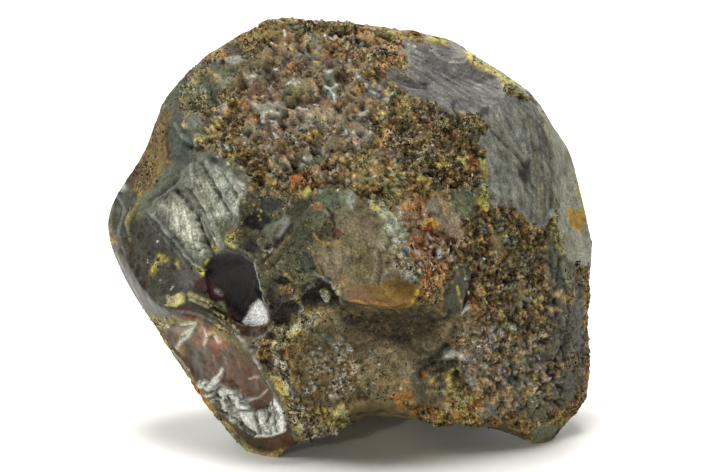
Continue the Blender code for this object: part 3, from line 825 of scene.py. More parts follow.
# The overhanging lobe in the middle.
LOBE = [
    patch([(312, 197), (330, 187), (352, 189), (366, 203), (382, 222), (390, 243), (394, 262),
          (404, 280), (400, 292), (350, 300), (330, 291), (322, 272), (312, 248), (315, 237),
          (334, 240), (336, 214), (318, 210)], (106, 98, 76), soft=2.5, rough=0.46, ripple=0.8,
          crust=0.06, speck=0.05, rust=0.0),
    *blobs([
        (330, 200, 16, 10, (92, 97, 78), 0.0), (351, 199, 5, 9, (142, 146, 132), 0.1),
        (334, 258, 14, 14, (122, 112, 92), 0.2), (360, 226, 14, 10, (112, 100, 78), 0.1),
        (384, 244, 5, 18, (122, 118, 92), 0.0), (362, 262, 10, 18, (108, 100, 70), 0.0),
        (345, 284, 10, 6, (126, 104, 72), 0.0),
    ], crust=0.06),
    *strokes([
        ([(290, 222), (279, 236)], 1.2, (150, 154, 148), 0.4),
        ([(291, 224), (279, 240), (270, 252), (261, 263)], 1.8, (16, 15, 11), -0.7),
        ([(290, 236), (278, 251), (266, 264)], 1.3, (112, 92, 58), 0.5),
        ([(296, 240), (284, 252), (270, 268)], 1.4, (36, 34, 22), -0.4),
        ([(268, 252), (272, 249)], 1.2, (200, 200, 190), 0.3),
        ([(328, 208), (334, 216), (335, 230)], 1.1, (24, 18, 12), -0.5),
        ([(330, 190), (333, 206)], 0.9, (46, 48, 38), -0.2),
        ([(336, 188), (338, 204)], 0.9, (50, 52, 42), -0.2),
        ([(314, 234), (319, 240), (326, 244), (335, 245), (342, 240)], 1.1, (158, 130, 54), 0.3),
        ([(317, 241), (325, 247), (333, 248)], 0.9, (120, 92, 36), 0.1),
        ([(320, 238), (328, 241), (336, 241)], 0.9, (58, 42, 22), -0.2),
        ([(311, 246), (313, 255), (317, 263), (321, 275)], 1.1, (136, 112, 54), 0.3),
        ([(350, 244), (353, 256), (350, 266)], 0.9, (84, 74, 52), -0.2),
        ([(360, 250), (359, 266), (363, 280)], 0.9, (88, 78, 54), -0.2),
        ([(366, 238), (369, 256), (365, 268)], 0.9, (84, 76, 54), -0.2),
        ([(372, 246), (377, 258), (375, 270), (372, 282)], 1.2, (140, 128, 96), 0.3),
        ([(380, 252), (382, 268), (378, 284)], 1.0, (60, 56, 38), -0.3),
        ([(342, 246), (344, 262), (340, 276)], 0.9, (82, 70, 52), -0.2),
        # Painted highlight: a pale ribbon.
        ([(385, 273), (392, 268), (402, 264), (409, 262)], 2.0, (136, 132, 104), 0.4),
        ([(382, 262), (392, 262), (400, 259)], 1.2, (60, 58, 44), -0.2),
    ], crust=0.05, speck=0.0, rust=0.0),
    *blobs([
        (336, 234, 4, 5, (60, 34, 24), -0.2), (317, 207, 6, 3, (158, 122, 80), 0.3),
    ], crust=0.3, rough=0.5),
]

FROSTED_BAND = [
    patch([(368, 198), (380, 198), (392, 213), (405, 226), (410, 242), (415, 262), (418, 280),
          (406, 279), (396, 266), (390, 256), (393, 238), (384, 222), (374, 211)], (150, 147, 120),
          soft=3, crust=0.85, speck=0.35, rust=0.0, lift=0.35),
    blob(376, 205, 6, 5, (186, 180, 110), crust=0.8, speck=0.9, lift=0.3),
]

RED_BREAK = [
    patch([(400, 196), (438, 196), (462, 222), (465, 246), (452, 262), (446, 276), (426, 286),
          (416, 264), (408, 242)], (132, 106, 82), soft=4, crust=0.75, rough=0.3, speck=0.25,
          rust=0.4),
    *blobs([
        (449, 216, 12, 12, (140, 126, 104), 0.1), (436, 206, 8, 9, (120, 113, 96), 0.0),
        (464, 203, 13, 16, (88, 93, 72), 0.0), (455, 232, 9, 5, (146, 128, 106), 0.2),
    ], crust=0.2, rough=0.4, speck=0.1, rust=0.0),
    *blobs([
        (431, 224, 9, 4, (190, 148, 58), 0.2), (416, 246, 5, 11, (178, 92, 36), 0.1),
        (428, 230, 6, 5, (120, 48, 20), 0.0), (436, 270, 10, 8, (168, 106, 64), 0.1),
        (432, 282, 10, 7, (206, 124, 56), 0.2), (426, 294, 6, 4, (196, 92, 32), 0.1),
        (404, 206, 6, 4, (186, 132, 76), 0.1), (446, 238, 8, 5, (124, 86, 58), 0.0),
    ], crust=0.6, rough=0.35, speck=0.8, rust=0.9),
    *blobs([
        (426, 246, 6, 6, (30, 20, 20), -0.4), (436, 252, 5, 5, (36, 24, 22), -0.4),
        (420, 262, 4, 4, (40, 32, 38), -0.3), (452, 243, 5, 6, (44, 26, 16), -0.9),
        (470, 251, 8, 7, (62, 42, 24), -0.3), (478, 233, 4, 5, (18, 16, 10), -0.7),
        (452, 251, 3, 3, (14, 12, 14), -0.7),
    ], crust=0.4, rough=0.1, speck=0.0),
    *strokes([
        ([(439, 196), (443, 206), (446, 214)], 2.0, (164, 138, 98), 0.2),
        ([(435, 208), (436, 218)], 1.8, (128, 128, 118), 0.2),
        ([(452, 190), (460, 200), (470, 208)], 1.0, (110, 114, 98), 0.2),
        # Painted highlights: the white glints that follow.
        ([(448, 252), (450, 246)], 1.3, (220, 220, 226), 0.3),
        ([(439, 250), (440, 256)], 1.3, (220, 214, 210), 0.3),
        ([(428, 234), (431, 237)], 1.2, (216, 210, 214), 0.2),
        ([(414, 250), (418, 253)], 1.0, (210, 200, 200), 0.2),
        ([(420, 263), (423, 267)], 1.2, (206, 208, 220), 0.2),
    ], crust=0.1, rough=0.1, speck=0.0),
]

# The clear amber lip below the lobe.
AMBER_LIP = [
    patch([(346, 296), (352, 289), (366, 285), (378, 286), (386, 281), (398, 279), (412, 282),
          (419, 288), (418, 295), (412, 303), (398, 308), (378, 307), (360, 303), (348, 301)],
          (122, 92, 40), soft=2.2, wobble=0.4, rough=0.34, clear=0.45, crust=0.0, speck=0.0,
          rust=0.0, ripple=0.0),
    *blobs([
        (384, 292, 10, 5, (142, 114, 50), 0.0), (402, 284, 10, 4, (90, 72, 40), -0.1),
        (360, 294, 9, 4, (128, 92, 54), 0.0), (400, 297, 10, 5, (140, 106, 46), 0.1),
    ], clear=0.45, rough=0.34),
    *strokes([
        ([(410, 303), (414, 297), (418, 290)], 1.8, (206, 164, 40), 0.2),
        ([(351, 300), (358, 300), (366, 303)], 1.1, (190, 146, 92), 0.2),
        ([(370, 301), (390, 306), (410, 305)], 1.0, (176, 122, 56), 0.1),
    ], clear=0.3, rough=0.25),
]

# The leaf-shaped flake right of the lip, with a painted highlight along its left edge; the slot beside
# it is sunk and painted near-black as painted shade.
LEAF = [
    patch([(455, 266), (462, 265), (469, 268), (472, 276), (469, 288), (466, 300), (462, 313),
          (451, 315), (441, 302), (441, 290), (448, 279)], (56, 57, 44), soft=1.8, rough=0.38,
          lift=0.3, **GLASSY),
    *strokes([
        ([(455, 266), (448, 277), (442, 288), (441, 300)], 1.2, (172, 146, 96), 0.3),
        ([(457, 285), (459, 294)], 1.3, (160, 156, 70), 0.2),
        ([(463, 268), (467, 280), (464, 296), (461, 310)], 0.9, (92, 95, 80), 0.2),
        ([(450, 312), (448, 318), (444, 320)], 2.4, (18, 16, 14), -0.6),
        ([(468, 306), (463, 314)], 1.6, (196, 196, 190), 0.3),
    ], rough=0.3, speck=0.0),
    patch([(471, 270), (479, 275), (480, 290), (472, 304), (464, 310), (466, 298), (472, 284)],
          (14, 11, 8), soft=1.8, lift=-1.6, crust=0.3, speck=0.0),
]

# Black gaps left of the lip, sunk and painted near-black as painted shade, and the crumbs beside them.
GAPS = [
    patch([(303, 284), (311, 283), (320, 276), (328, 280), (333, 290), (342, 302), (330, 307),
          (312, 307), (301, 304)], (5, 5, 6), soft=1.8, lift=-1.2, crust=0.15, rough=0.15,
          speck=0.0),
    *blobs([
        (284, 281, 9, 4, (8, 8, 7), -0.6), (292, 308, 10, 7, (12, 9, 10), -0.5),
        (276, 304, 9, 6, (16, 12, 14), -0.3), (270, 294, 4, 8, (12, 10, 9), -0.3),
    ], crust=0.25, rough=0.2, speck=0.0),
    *blobs([
        (323, 293, 5, 3.5, (176, 166, 96), 0.7), (325, 300, 4, 4.5, (206, 204, 184), 0.9),
        (339, 290, 3, 5.0, (150, 134, 96), 0.4),
    ], crust=0.7, speck=0.5),
    *strokes([
        ([(281, 289), (289, 288), (295, 293), (299, 302)], 2.2, (142, 118, 50), 0.5),
        ([(285, 274), (291, 280)], 1.8, (150, 136, 88), 0.3),
    ], crust=0.8, speck=0.9),
    *strokes([
        ([(315, 273), (322, 279), (330, 283), (336, 290)], 0.9, (150, 148, 136), 0.3),
        ([(302, 298), (306, 289), (312, 284)], 0.9, (120, 120, 114), 0.3),
        ([(301, 302), (304, 309), (299, 314)], 0.9, (150, 150, 140), 0.3),
        ([(336, 296), (341, 304), (348, 307)], 0.9, (130, 126, 110), 0.3),
        ([(330, 304), (340, 306), (350, 307)], 1.4, (28, 24, 18), -0.4),
    ], crust=0.2, rough=0.25),
]

BOWL_OUTLINE = [(201, 266), (206, 258), (216, 250), (232, 248), (246, 253), (255, 268), (258, 290),
                (266, 322), (250, 328), (232, 318), (212, 302), (203, 290)]


def bowl_reflection_streaks(skin):
    """Streaks of painted reflection that spread across the scoop, brighter than they are dark."""
    streaks = skin.rays(230, 150, 70, SEED + 45)
    skin.shade(skin.inside(BOWL_OUTLINE, 2) * np.where(streaks > 0, 4 * streaks, streaks))
    skin.height += skin.inside(BOWL_OUTLINE, 5) * streaks * 0.05

# The dark oval scoop, with painted highlights: a white patch at its bottom and lines along its rim.
SCOOP = [
    patch(BOWL_OUTLINE, (7, 5, 6), soft=1.5, wobble=0.4, rough=0.4, ripple=1.5, **GLASSY),
    patch([(203, 282), (214, 286), (232, 312), (226, 320), (208, 304)], (34, 13, 14), soft=6),
    patch(BOWL_OUTLINE, soft=15, wobble=0.2, lift=-2.2),
    bowl_reflection_streaks,
    *strokes([
        # Painted highlight along the rim: the first and third lines.
        ([(212, 252), (226, 250), (240, 253), (250, 262)], 2.0, (70, 70, 68), 0.3),
        ([(210, 258), (222, 253), (238, 256), (249, 268)], 0.9, (26, 24, 24), -0.1),
        ([(253, 262), (254, 278), (260, 298), (266, 318)], 1.3, (170, 172, 168), 0.5),
        ([(258, 284), (265, 302), (270, 320)], 1.8, (88, 90, 80), 0.3),
        ([(214, 292), (220, 296)], 1.4, (120, 118, 116), 0.2),
        ([(250, 278), (248, 292), (240, 304)], 1.2, (40, 34, 40), 0.1),
        ([(228, 306), (236, 314)], 2.0, (70, 50, 54), 0.1),
        ([(203, 262), (206, 258)], 1.2, (150, 140, 60), 0.3),
    ], rough=0.3),
    # Painted highlight: a white patch at the bottom of the scoop.
    patch([(240, 317), (244, 307), (251, 300), (257, 305), (264, 320), (254, 326), (244, 322)],
          (226, 226, 222), soft=1.5, wobble=0.3, rough=0.25, crust=0.0),
]

SCOOP_RIM = [
    stroke([(246, 322), (256, 325), (264, 322)], 2.2, (150, 150, 110), crust=0.6, speck=0.6),
    # Yellow crumb ridges, each with a dark line just below it as a painted shadow.
    *[mark for path in [
            [(190, 294), (200, 298), (212, 303)], [(192, 299), (206, 306), (220, 314)],
            [(210, 304), (222, 304), (226, 311)], [(214, 311), (226, 320), (234, 328)],
        ]
      for mark in (
          stroke(path, 2.0, (160, 156, 110), lift=0.5, crust=0.8, speck=0.8, rough=0.6),
          stroke([(u + 1, v + 3.6) for u, v in path], 1.0, (22, 18, 12), lift=-0.4))],
    patch([(234, 322), (252, 326), (262, 324), (272, 328), (268, 338), (250, 340), (238, 334)],
          (58, 38, 34), soft=2, crust=0.1, rough=0.25, speck=0.0),
    patch([(228, 326), (236, 334), (252, 340), (262, 339), (258, 352), (250, 356), (240, 344)],
          (106, 106, 94), soft=2, crust=0.35, rough=0.25, speck=0.2, lift=0.35),
    # The first two lines are painted reflection on the pale ridge below the scoop.
    *strokes([
        ([(234, 326), (238, 336), (246, 342)], 1.2, (176, 176, 166), 0.4),
        ([(256, 338), (264, 336), (272, 328), (274, 322)], 1.1, (150, 152, 142), 0.4),
        ([(250, 346), (257, 348)], 2.0, (20, 18, 14), -0.5),
        ([(238, 344), (248, 354), (256, 366)], 1.6, (50, 54, 46), -0.3),
    ], rough=0.3),
    patch([(266, 300), (280, 302), (292, 308), (290, 322), (276, 326), (266, 320)], (22, 14, 14),
          soft=3, crust=0.2, rough=0.25, speck=0.0, lift=-0.5),
]

# Loose bright grains, white glints that are painted highlights, and small holes painted black as
# painted shade: area, count, radius, colours and lift.
YELLOW = [(184, 168, 92), (196, 184, 128), (172, 136, 76)]
GLINT_WHITE = [(218, 214, 202), (190, 188, 178)]
ORANGE = [(164, 114, 66), (176, 132, 78), (138, 92, 58)]
HOLE_SHADE = [(12, 10, 7), (30, 24, 16)]
SPRINKLES = [mark for area, count, radius, colours, lift in [
    ((300, 130, 90, 60), 60, 2.0, HOLE_SHADE, -0.7), ((330, 140, 120, 60), 80, 0.9, GLINT_WHITE, 0.1),
    ((300, 150, 100, 40), 50, 1.1, YELLOW, 0.2), ((430, 150, 45, 50), 60, 1.4, YELLOW, 0.2),
    ((440, 150, 40, 40), 30, 1.8, HOLE_SHADE, -0.4), ((400, 140, 70, 50), 40, 1.5, ORANGE, 0.1),
    ((205, 105, 26, 36), 40, 1.2, YELLOW, 0.2), ((218, 136, 26, 14), 25, 1.2, ORANGE, 0.1),
    ((330, 45, 90, 22), 45, 1.6, HOLE_SHADE, -0.4), ((320, 40, 80, 18), 40, 1.3, ORANGE, 0.1),
    ((340, 45, 90, 20), 40, 0.9, GLINT_WHITE, 0.1), ((290, 185, 40, 14), 30, 1.6, ORANGE, 0.2),
    ((396, 236, 14, 34), 45, 1.2, HOLE_SHADE, -0.2), ((394, 236, 13, 32), 40, 1.2, GLINT_WHITE, 0.2),
    ((436, 252, 24, 24), 34, 1.4, HOLE_SHADE, -0.4), ((436, 256, 25, 25), 40, 1.0, GLINT_WHITE, 0.2),
    ((436, 262, 24, 24), 30, 1.5, ORANGE, 0.1), ((160, 260, 22, 34), 12, 0.6, GLINT_WHITE, 0.0),
    ((160, 260, 24, 36), 40, 1.6, HOLE_SHADE, -0.2), ((262, 205, 24, 14), 16, 0.9, YELLOW, 0.1),
    ((275, 262, 24, 24), 8, 0.6, GLINT_WHITE, 0.1), ((500, 300, 44, 80), 50, 1.2, ORANGE, 0.1),
    ((510, 320, 50, 90), 70, 1.5, HOLE_SHADE, -0.4), ((510, 330, 56, 90), 80, 0.9, GLINT_WHITE, 0.1),
    ((540, 280, 24, 60), 40, 1.6, YELLOW, 0.2), ((460, 390, 34, 24), 40, 1.5, YELLOW, 0.2),
    ((324, 420, 26, 12), 40, 1.5, YELLOW, 0.2), ((324, 420, 26, 12), 24, 1.6, HOLE_SHADE, -0.3),
    ((470, 410, 60, 14), 40, 1.5, ORANGE, 0.2),
] for mark in sprinkle(area, count, radius, colours, count + int(area[0]), lift=lift)]

# Crooked rims, and gaps in the crust painted near-black as painted shade: area and count.
RIM_COLOURS = [(168, 138, 96), (186, 152, 92), (186, 182, 166), (128, 96, 66), (150, 132, 120)]
GAP_SHADE_COLOURS = [(12, 9, 6), (24, 18, 13)]
SCRATCHES = [mark for area, count in [
    ((315, 110, 85, 66), 90), ((440, 150, 42, 42), 40), ((300, 170, 60, 22), 30),
    ((510, 290, 45, 80), 60), ((520, 380, 50, 34), 50), ((320, 40, 80, 18), 30),
    ((210, 110, 30, 40), 20),
] for mark in (
    *scratch(area, count, 1.1, RIM_COLOURS, count + int(area[1]), lift=0.35, rough=0.3),
    *scratch(area, count, 1.4, GAP_SHADE_COLOURS, count + int(area[0]), lift=-0.6, speck=0.0))]

WINDOW = [(163, 328), (172, 326), (181, 325), (196, 322), (212, 325), (224, 332), (232, 343),
          (241, 352), (250, 360), (257, 367), (263, 377), (269, 387), (276, 398), (283, 412),
          (288, 426), (296, 444), (284, 448), (270, 453), (258, 452), (248, 445), (238, 435),
          (228, 424), (218, 413), (210, 402), (202, 390), (194, 379), (186, 367), (178, 355),
          (168, 342)]

# Outlines of the crumpled glass and the plate below it, where the painted silver reflection lies.
CRUMPLED = [(197, 380), (222, 372), (244, 388), (252, 397), (254, 409), (228, 414), (204, 396)]

SILVER_PLATE = [(214, 405), (240, 411), (256, 411), (266, 408), (276, 398), (284, 412), (286, 430),
                (268, 437), (244, 430), (228, 420)]

VEINED = [(214, 356), (240, 356), (268, 388), (262, 404), (220, 384)]

RINGED = [(190, 346), (230, 346), (268, 384), (264, 404), (212, 384)]

RING_CENTRE = (186, 412)
RING_SPACING = 7


def steady_lines(skin):
    """From here on, lines have no worn gaps."""
    skin.patchy = 1.0


def worn_lines(skin):
    skin.patchy = skin.worn


def dull_glass(skin):
    skin.fields["clear"] = np.minimum(skin.fields["clear"], CLEAREST)


def window_relief_and_reflections(skin):
    """Crumpled glass shaded as painted silver reflection, the plate's bright streaks of painted
    reflection, and slow waves, veins and rings in the glass.
    """
    crumple, plate = skin.inside(CRUMPLED, 4), skin.inside(SILVER_PLATE, 2)
    for size, strength in ((2.1, 0.6), (0.9, 0.9)):
        _, way, tilt = broken_cells(skin.points, size, SEED + 33)
        skin.height += np.sum(way * tilt, 1) * 0.6 * (crumple + plate)
        skin.shade(crumple * tilt[:, 0] * strength)
    streaks = skin.rays(226, 372, 26, SEED + 35)
    skin.shade(plate * np.where(streaks > 0, 1.6 * streaks, 0.85 * streaks))
    skin.height += plate * streaks * 0.35
    glass = skin.inside(WINDOW, 5)
    skin.height += glass * layered_noise(skin.points, 6, 3, SEED + 37, 0.6) * 1.1
    skin.shade(skin.inside(VEINED, 4) * 2.2 * layered_noise(skin.points, 0.9, 3, SEED + 36, 0.8))
    skin.shade(glass * 1.7 * layered_noise(skin.points, 3.2, 3, SEED + 38, 0.7))
    away = np.hypot(skin.u - RING_CENTRE[0], skin.v - RING_CENTRE[1]) + skin.wobble_u * 0.6
    skin.height += np.sin(away * 2 * math.pi / RING_SPACING) * 0.05 * skin.inside(RINGED, 5, 0.3)

# The see-through window at the lower left.
WINDOW_GLASS = [
    patch([(148, 314), (176, 318), (228, 330), (262, 366), (304, 440), (290, 458), (250, 462),
          (200, 410)], (120, 112, 66), soft=3, crust=0.5, speck=0.6, rough=0.5),
    steady_lines,
    patch(WINDOW, (58, 38, 18), soft=1.6, wobble=0.2, rough=0.12, clear=0.38, **GLASSY),
    dull_glass,
    *[patch(outline, colour, soft=soft, wobble=0.5)
      for outline, colour, soft in [
            ([(164, 329), (173, 327), (176, 345), (190, 366), (198, 382), (186, 370), (168, 342)],
             (52, 32, 16), 2),
            ([(174, 330), (181, 328), (182, 344), (190, 352), (184, 358), (176, 346)],
             (120, 92, 34), 2),
            ([(179, 330), (191, 326), (186, 338), (179, 340)], (72, 74, 60), 1.5),
            ([(194, 324), (210, 324), (212, 344), (198, 348), (190, 344)], (112, 64, 22), 3),
            ([(210, 326), (222, 331), (230, 342), (224, 340), (212, 334)], (150, 136, 68), 2.5),
            ([(212, 340), (224, 338), (228, 348), (216, 351)], (150, 66, 10), 2),
            ([(199, 350), (216, 350), (214, 362), (202, 362)], (92, 54, 14), 3),
            ([(184, 346), (200, 348), (206, 364), (206, 380), (196, 378), (186, 360)], (26, 22, 14),
             4),
            ([(214, 356), (240, 356), (258, 370), (268, 388), (262, 404), (240, 396), (220, 384),
             (210, 372)], (72, 40, 22), 4),
            ([(248, 384), (266, 386), (272, 398), (262, 409), (250, 408)], (66, 24, 14), 3),
            ([(262, 434), (286, 432), (298, 442), (284, 448), (270, 450)], (70, 44, 32), 2),
        ]],
]

# Painted reflection: silver plates and bright streaks on the crumpled glass, with dark folds between
# them.
WINDOW_REFLECTIONS = [
    *[patch(outline, (140, 142, 134), soft=1.8, wobble=0.6, **SILVER)
      for outline in [
            [(197, 383), (214, 378), (222, 386), (238, 391), (251, 397), (252, 408), (242, 411),
             (228, 411), (213, 403), (205, 393)],
            [(214, 405), (240, 411), (256, 411), (266, 408), (276, 398), (284, 412), (286, 430),
             (268, 437), (256, 434), (244, 430), (230, 420)],
        ]],
    window_relief_and_reflections,
    *strokes([
        ([(215, 390), (219, 380), (223, 369)], 1.7, (232, 232, 226), 0.5),
        ([(200, 386), (206, 391), (212, 384), (218, 376)], 1.5, (224, 224, 214), 0.4),
        ([(206, 396), (213, 394)], 1.6, (226, 222, 206), 0.3),
        ([(236, 404), (244, 410)], 2.0, (226, 228, 222), 0.3),
        ([(222, 392), (232, 398), (246, 402)], 1.2, (206, 208, 200), 0.3),
        ([(241, 413), (248, 420), (254, 430)], 1.9, (230, 232, 228), 0.3),
        ([(231, 414), (240, 420), (247, 429)], 0.9, (196, 198, 192), 0.2),
        ([(258, 413), (261, 422), (268, 432)], 1.3, (222, 224, 218), 0.3),
        ([(266, 411), (270, 420), (275, 431)], 0.9, (200, 202, 196), 0.2),
        ([(275, 399), (280, 412), (284, 430)], 1.3, (230, 232, 226), 0.4),
        ([(270, 402), (275, 414), (279, 430)], 0.8, (190, 192, 186), 0.2),
        ([(256, 436), (270, 436), (285, 430)], 1.0, (226, 222, 216), 0.2),
        ([(238, 411), (250, 412), (258, 411), (267, 407)], 1.0, (40, 34, 28), -0.4),
    ], **SILVER),
    *strokes([
        ([(215, 396), (218, 386)], 1.9, (12, 10, 8), -0.4),
        ([(203, 389), (209, 393), (215, 390)], 1.3, (12, 11, 9), -0.4),
        ([(217, 402), (220, 409), (226, 414)], 2.0, (16, 17, 16), -0.4),
        ([(210, 398), (216, 396), (224, 400)], 1.1, (14, 14, 12), -0.3),
        ([(228, 394), (229, 402), (234, 406)], 1.2, (20, 20, 18), -0.3),
        ([(238, 396), (244, 401), (250, 404)], 0.9, (18, 18, 16), -0.3),
        ([(232, 416), (244, 424), (256, 434)], 1.5, (12, 13, 11), -0.4),
        ([(222, 410), (236, 419), (248, 430)], 1.0, (20, 21, 19), -0.3),
        ([(252, 413), (258, 424), (262, 434)], 1.3, (18, 19, 17), -0.3),
        ([(264, 409), (268, 418), (266, 422)], 2.0, (22, 22, 18), -0.3),
        ([(272, 404), (274, 420), (277, 431)], 1.2, (20, 21, 18), -0.3),
        ([(286, 412), (290, 430)], 2.0, (34, 32, 28), -0.2),
        ([(244, 433), (256, 444), (264, 452)], 4.0, (40, 40, 30), 0.0),
        ([(260, 440), (271, 451)], 1.2, (60, 24, 12), 0.0),
    ], clear=0.1),
]

# Painted highlights: white and pale streaks on the glass, among a few orange and brown streaks of its
# own colour.
WINDOW_GLINTS = [
    *strokes([
        ([(181, 325), (190, 323), (195, 322)], 1.3, (206, 202, 168), 0.3),
        ([(195, 325), (190, 334), (182, 341), (178, 347)], 1.9, (206, 208, 180), 0.3),
        ([(183, 333), (190, 330)], 1.6, (214, 212, 190), 0.2),
        ([(206, 330), (208, 338), (204, 344)], 1.6, (214, 190, 170), 0.2),
        ([(217, 336), (219, 342)], 1.5, (236, 214, 200), 0.2),
        ([(160, 326), (168, 326)], 1.6, (196, 190, 140), 0.2),
        ([(197, 336), (204, 326)], 1.4, (140, 74, 26), 0.1),
        ([(206, 338), (212, 331)], 1.3, (206, 176, 160), 0.2),
        ([(219, 338), (221, 341)], 1.4, (222, 176, 160), 0.1),
        ([(246, 398), (252, 399), (260, 397), (267, 390)], 0.9, (200, 192, 186), 0.3),
        ([(249, 379), (259, 378)], 0.8, (190, 170, 160), 0.2),
        ([(205, 366), (214, 358), (222, 352)], 0.9, (120, 84, 70), 0.2),
        ([(172, 350), (180, 360), (188, 370)], 1.0, (176, 170, 160), 0.2),
    ], clear=0.2),
]

WINDOW_RIM = [
    *strokes([
        ([(150, 318), (160, 334), (170, 352), (182, 371), (196, 390), (208, 407), (222, 426),
         (240, 444), (252, 456), (264, 461), (275, 459), (300, 448)], 1.8, (160, 150, 82), 0.15),
        ([(190, 381), (202, 396), (208, 406)], 2.0, (168, 110, 44), 0.15),
        ([(227, 424), (236, 436)], 1.8, (176, 150, 100), 0.15),
        ([(258, 455), (272, 456), (292, 450)], 2.4, (150, 116, 54), 0.15),
    ], crust=0.7, speck=0.7, clear=0.0, rough=0.6),
    *strokes([
        ([(212, 316), (226, 326), (240, 343), (254, 358), (262, 371), (271, 384), (278, 397),
         (285, 412), (293, 432), (299, 443)], 1.4, (74, 77, 66), 0.25),
        ([(214, 318), (228, 331), (240, 346), (250, 360)], 1.0, (30, 32, 28), -0.3),
        ([(254, 356), (260, 367)], 1.4, (170, 172, 166), 0.4),
    ], crust=0.1, clear=0.0, rough=0.3),
    worn_lines,
]

# The side away from the camera: outline, colour, softness, wobble and finish of each facet.
BACK_FACETS = [
    ([(170, 70), (270, 30), (320, 90), (345, 190), (300, 235), (230, 240), (150, 200), (130, 150)],
     (88, 90, 78), 9, 3.0, {"rough": 0.42}),
    ([(330, 100), (450, 60), (455, 120), (440, 170), (395, 225), (345, 190)], (108, 106, 94), 9,
     3.0, {"rough": 0.4}),
    ([(300, 300), (395, 250), (430, 300), (400, 380), (330, 380)], (44, 37, 28), 7, 2.5, {"rough": 0.2,
     "clear": 0.3}),
]


def back_facets(skin):
    """Broken facets between stretches of crust."""
    skin.side = "back"
    for outline, colour, soft, wobble, finish in BACK_FACETS:
        skin.patch(outline, colour, soft=soft, wobble=wobble, ripple=0.9, **finish, **GLASSY)
        inside = skin.inside(outline, soft)
        u, v = outline[0]
        skin.shade(inside * 0.7 * skin.rays(u, v, 16, SEED + u))
        skin.shade(inside * 0.6 * layered_noise(skin.points, 9, 3, SEED + 60, 0.6))
    skin.side = "front"

# The right facet's edge, which its break lines run along, and outlines where lines run otherwise.
FACET_EDGE = [(530, 80), (538, 112), (548, 140), (552, 175), (553, 215), (556, 260)]
BOWL_LINES = [(203, 262), (226, 248), (252, 258), (266, 322), (210, 302)]
LOBE_LINES = [(300, 180), (400, 180), (430, 300), (300, 310)]


def line_phase(skin):
    """The phase of the fine break lines, in millimetres across them."""
    phase = skin.fields["phase"]
    phase += (skin.v + 0.38 * skin.u) * MM_PER_PIXEL
    right = smoothstep(468, 480, skin.u) * smoothstep(92, 104, skin.v) * skin.sides["front"]
    phase += (path_distance(skin.u, skin.v, FACET_EDGE) * MM_PER_PIXEL - phase) * right
    phase += (skin.u * 0.3 + skin.wobble_v * 0.1 - phase) * skin.inside(BOWL_LINES, 4)
    bowed = np.abs(skin.u - 330 - 0.0022 * (skin.v - 240) ** 2) * MM_PER_PIXEL
    phase += (bowed - phase) * skin.inside(LOBE_LINES, 6)


DRAWN = [
    CROWN_CRUST, CROWN_STONES, CROWN_FLAKE, CROWN_PITS, CROWN_GLINTS, CROWN_VEINS, CROWN_GRAINS,
    HOLLOW_FLOOR, HOLLOW_RIM, RIGHT_CRUST, RIGHT_SLATES, RIGHT_CRACKS, RIGHT_GRAINS, RIGHT_FOOT,
    LEFT_CORNER, FAN, DARK_FACET, LEFT_LINES, LEFT_CRUMBS, SCAR, SMALL_SCAR, RIGHT_FACET, FAR_FACET,
    GREEN_FACET, LOBE, FROSTED_BAND, RED_BREAK, AMBER_LIP, LEAF, GAPS, SCOOP, SCOOP_RIM,
    SPRINKLES, SCRATCHES, WINDOW_GLASS, WINDOW_REFLECTIONS, WINDOW_GLINTS, WINDOW_RIM,
    [back_facets, line_phase],
]


def draw_all(skin):
    for area in DRAWN:
        for draw in area:
            draw(skin)


# ---------------------------------------------------------------- weathering

# Blotches: size in millimetres, seed, fade and how much of each colour they add.
STAINS = [
    (5, 101, 0.7, (0.5, 0.12, -0.5)), (3.6, 103, 0.7, (0.0, -0.1, 0.22)),
    (2.6, 105, 0.75, (1.1, 1.1, 1.1)),
]


def broken_faces(warped):
    """Height and lean of small broken faces of three sizes."""
    crags = np.zeros(len(warped))
    flakes = np.zeros((len(warped), 3))
    for size, strength in ((4.2, 0.7), (2.2, 0.6), (1.2, 0.6)):
        _, way, tilt = broken_cells(warped, size, SEED + int(size * 10))
        crags += np.sum(way * tilt, 1) * strength
        flakes += tilt * (0.4 + 0.3 * strength)
    return crags, flakes


def small_holes(warped):
    hollow = np.zeros(len(warped))
    for size, chance in ((3.4, 0.6), (1.7, 0.6)):
        nearest, _, picks = broken_cells(warped, size, SEED + 77)
        hollow = np.maximum(hollow, (picks[:, 0] > chance) * smoothstep(0.38, 0.2, nearest))
    return hollow


def wandering_lines(warped, size, layers, width, seed):
    return np.exp(-(layered_noise(warped, size, layers, seed) / width) ** 2)


def weather_film(skin, film, warped):
    """Gentle waves and frost in the glassy facets."""
    points, glassy = skin.points, 1 - skin.fields["crust"]
    frost = layered_noise(warped, 1.5, 3, SEED + 91, 0.8)
    skin.height += glassy * layered_noise(points, 6, 2, SEED + 90) * 0.2
    skin.height += film * (frost * 0.16 + layered_noise(points, 2.8, 2, SEED + 92) * 0.14)
    skin.shade(film * (0.9 * frost + 0.5 * layered_noise(points, 4, 2, SEED + 93)))


def gather_specks(skin, relief):
    """Specks lie in clusters and along the crust's edge, and rust in patches."""
    points, crust, speck = skin.points, skin.fields["crust"], skin.fields["speck"]
    edge = 4 * crust * (1 - crust)
    clusters = layered_noise(points, 6, 4, SEED + 95, 0.75)
    speck *= np.clip(0.5 + 3.2 * clusters + 0.8 * relief, 0.0, 2.6)
    speck += 0.7 * edge * np.clip(0.5 + 1.6 * clusters, 0, 1)
    skin.fields["rust"] *= np.clip(0.6 + 2.0 * layered_noise(points, 4.5, 3, SEED + 97), 0, 2)


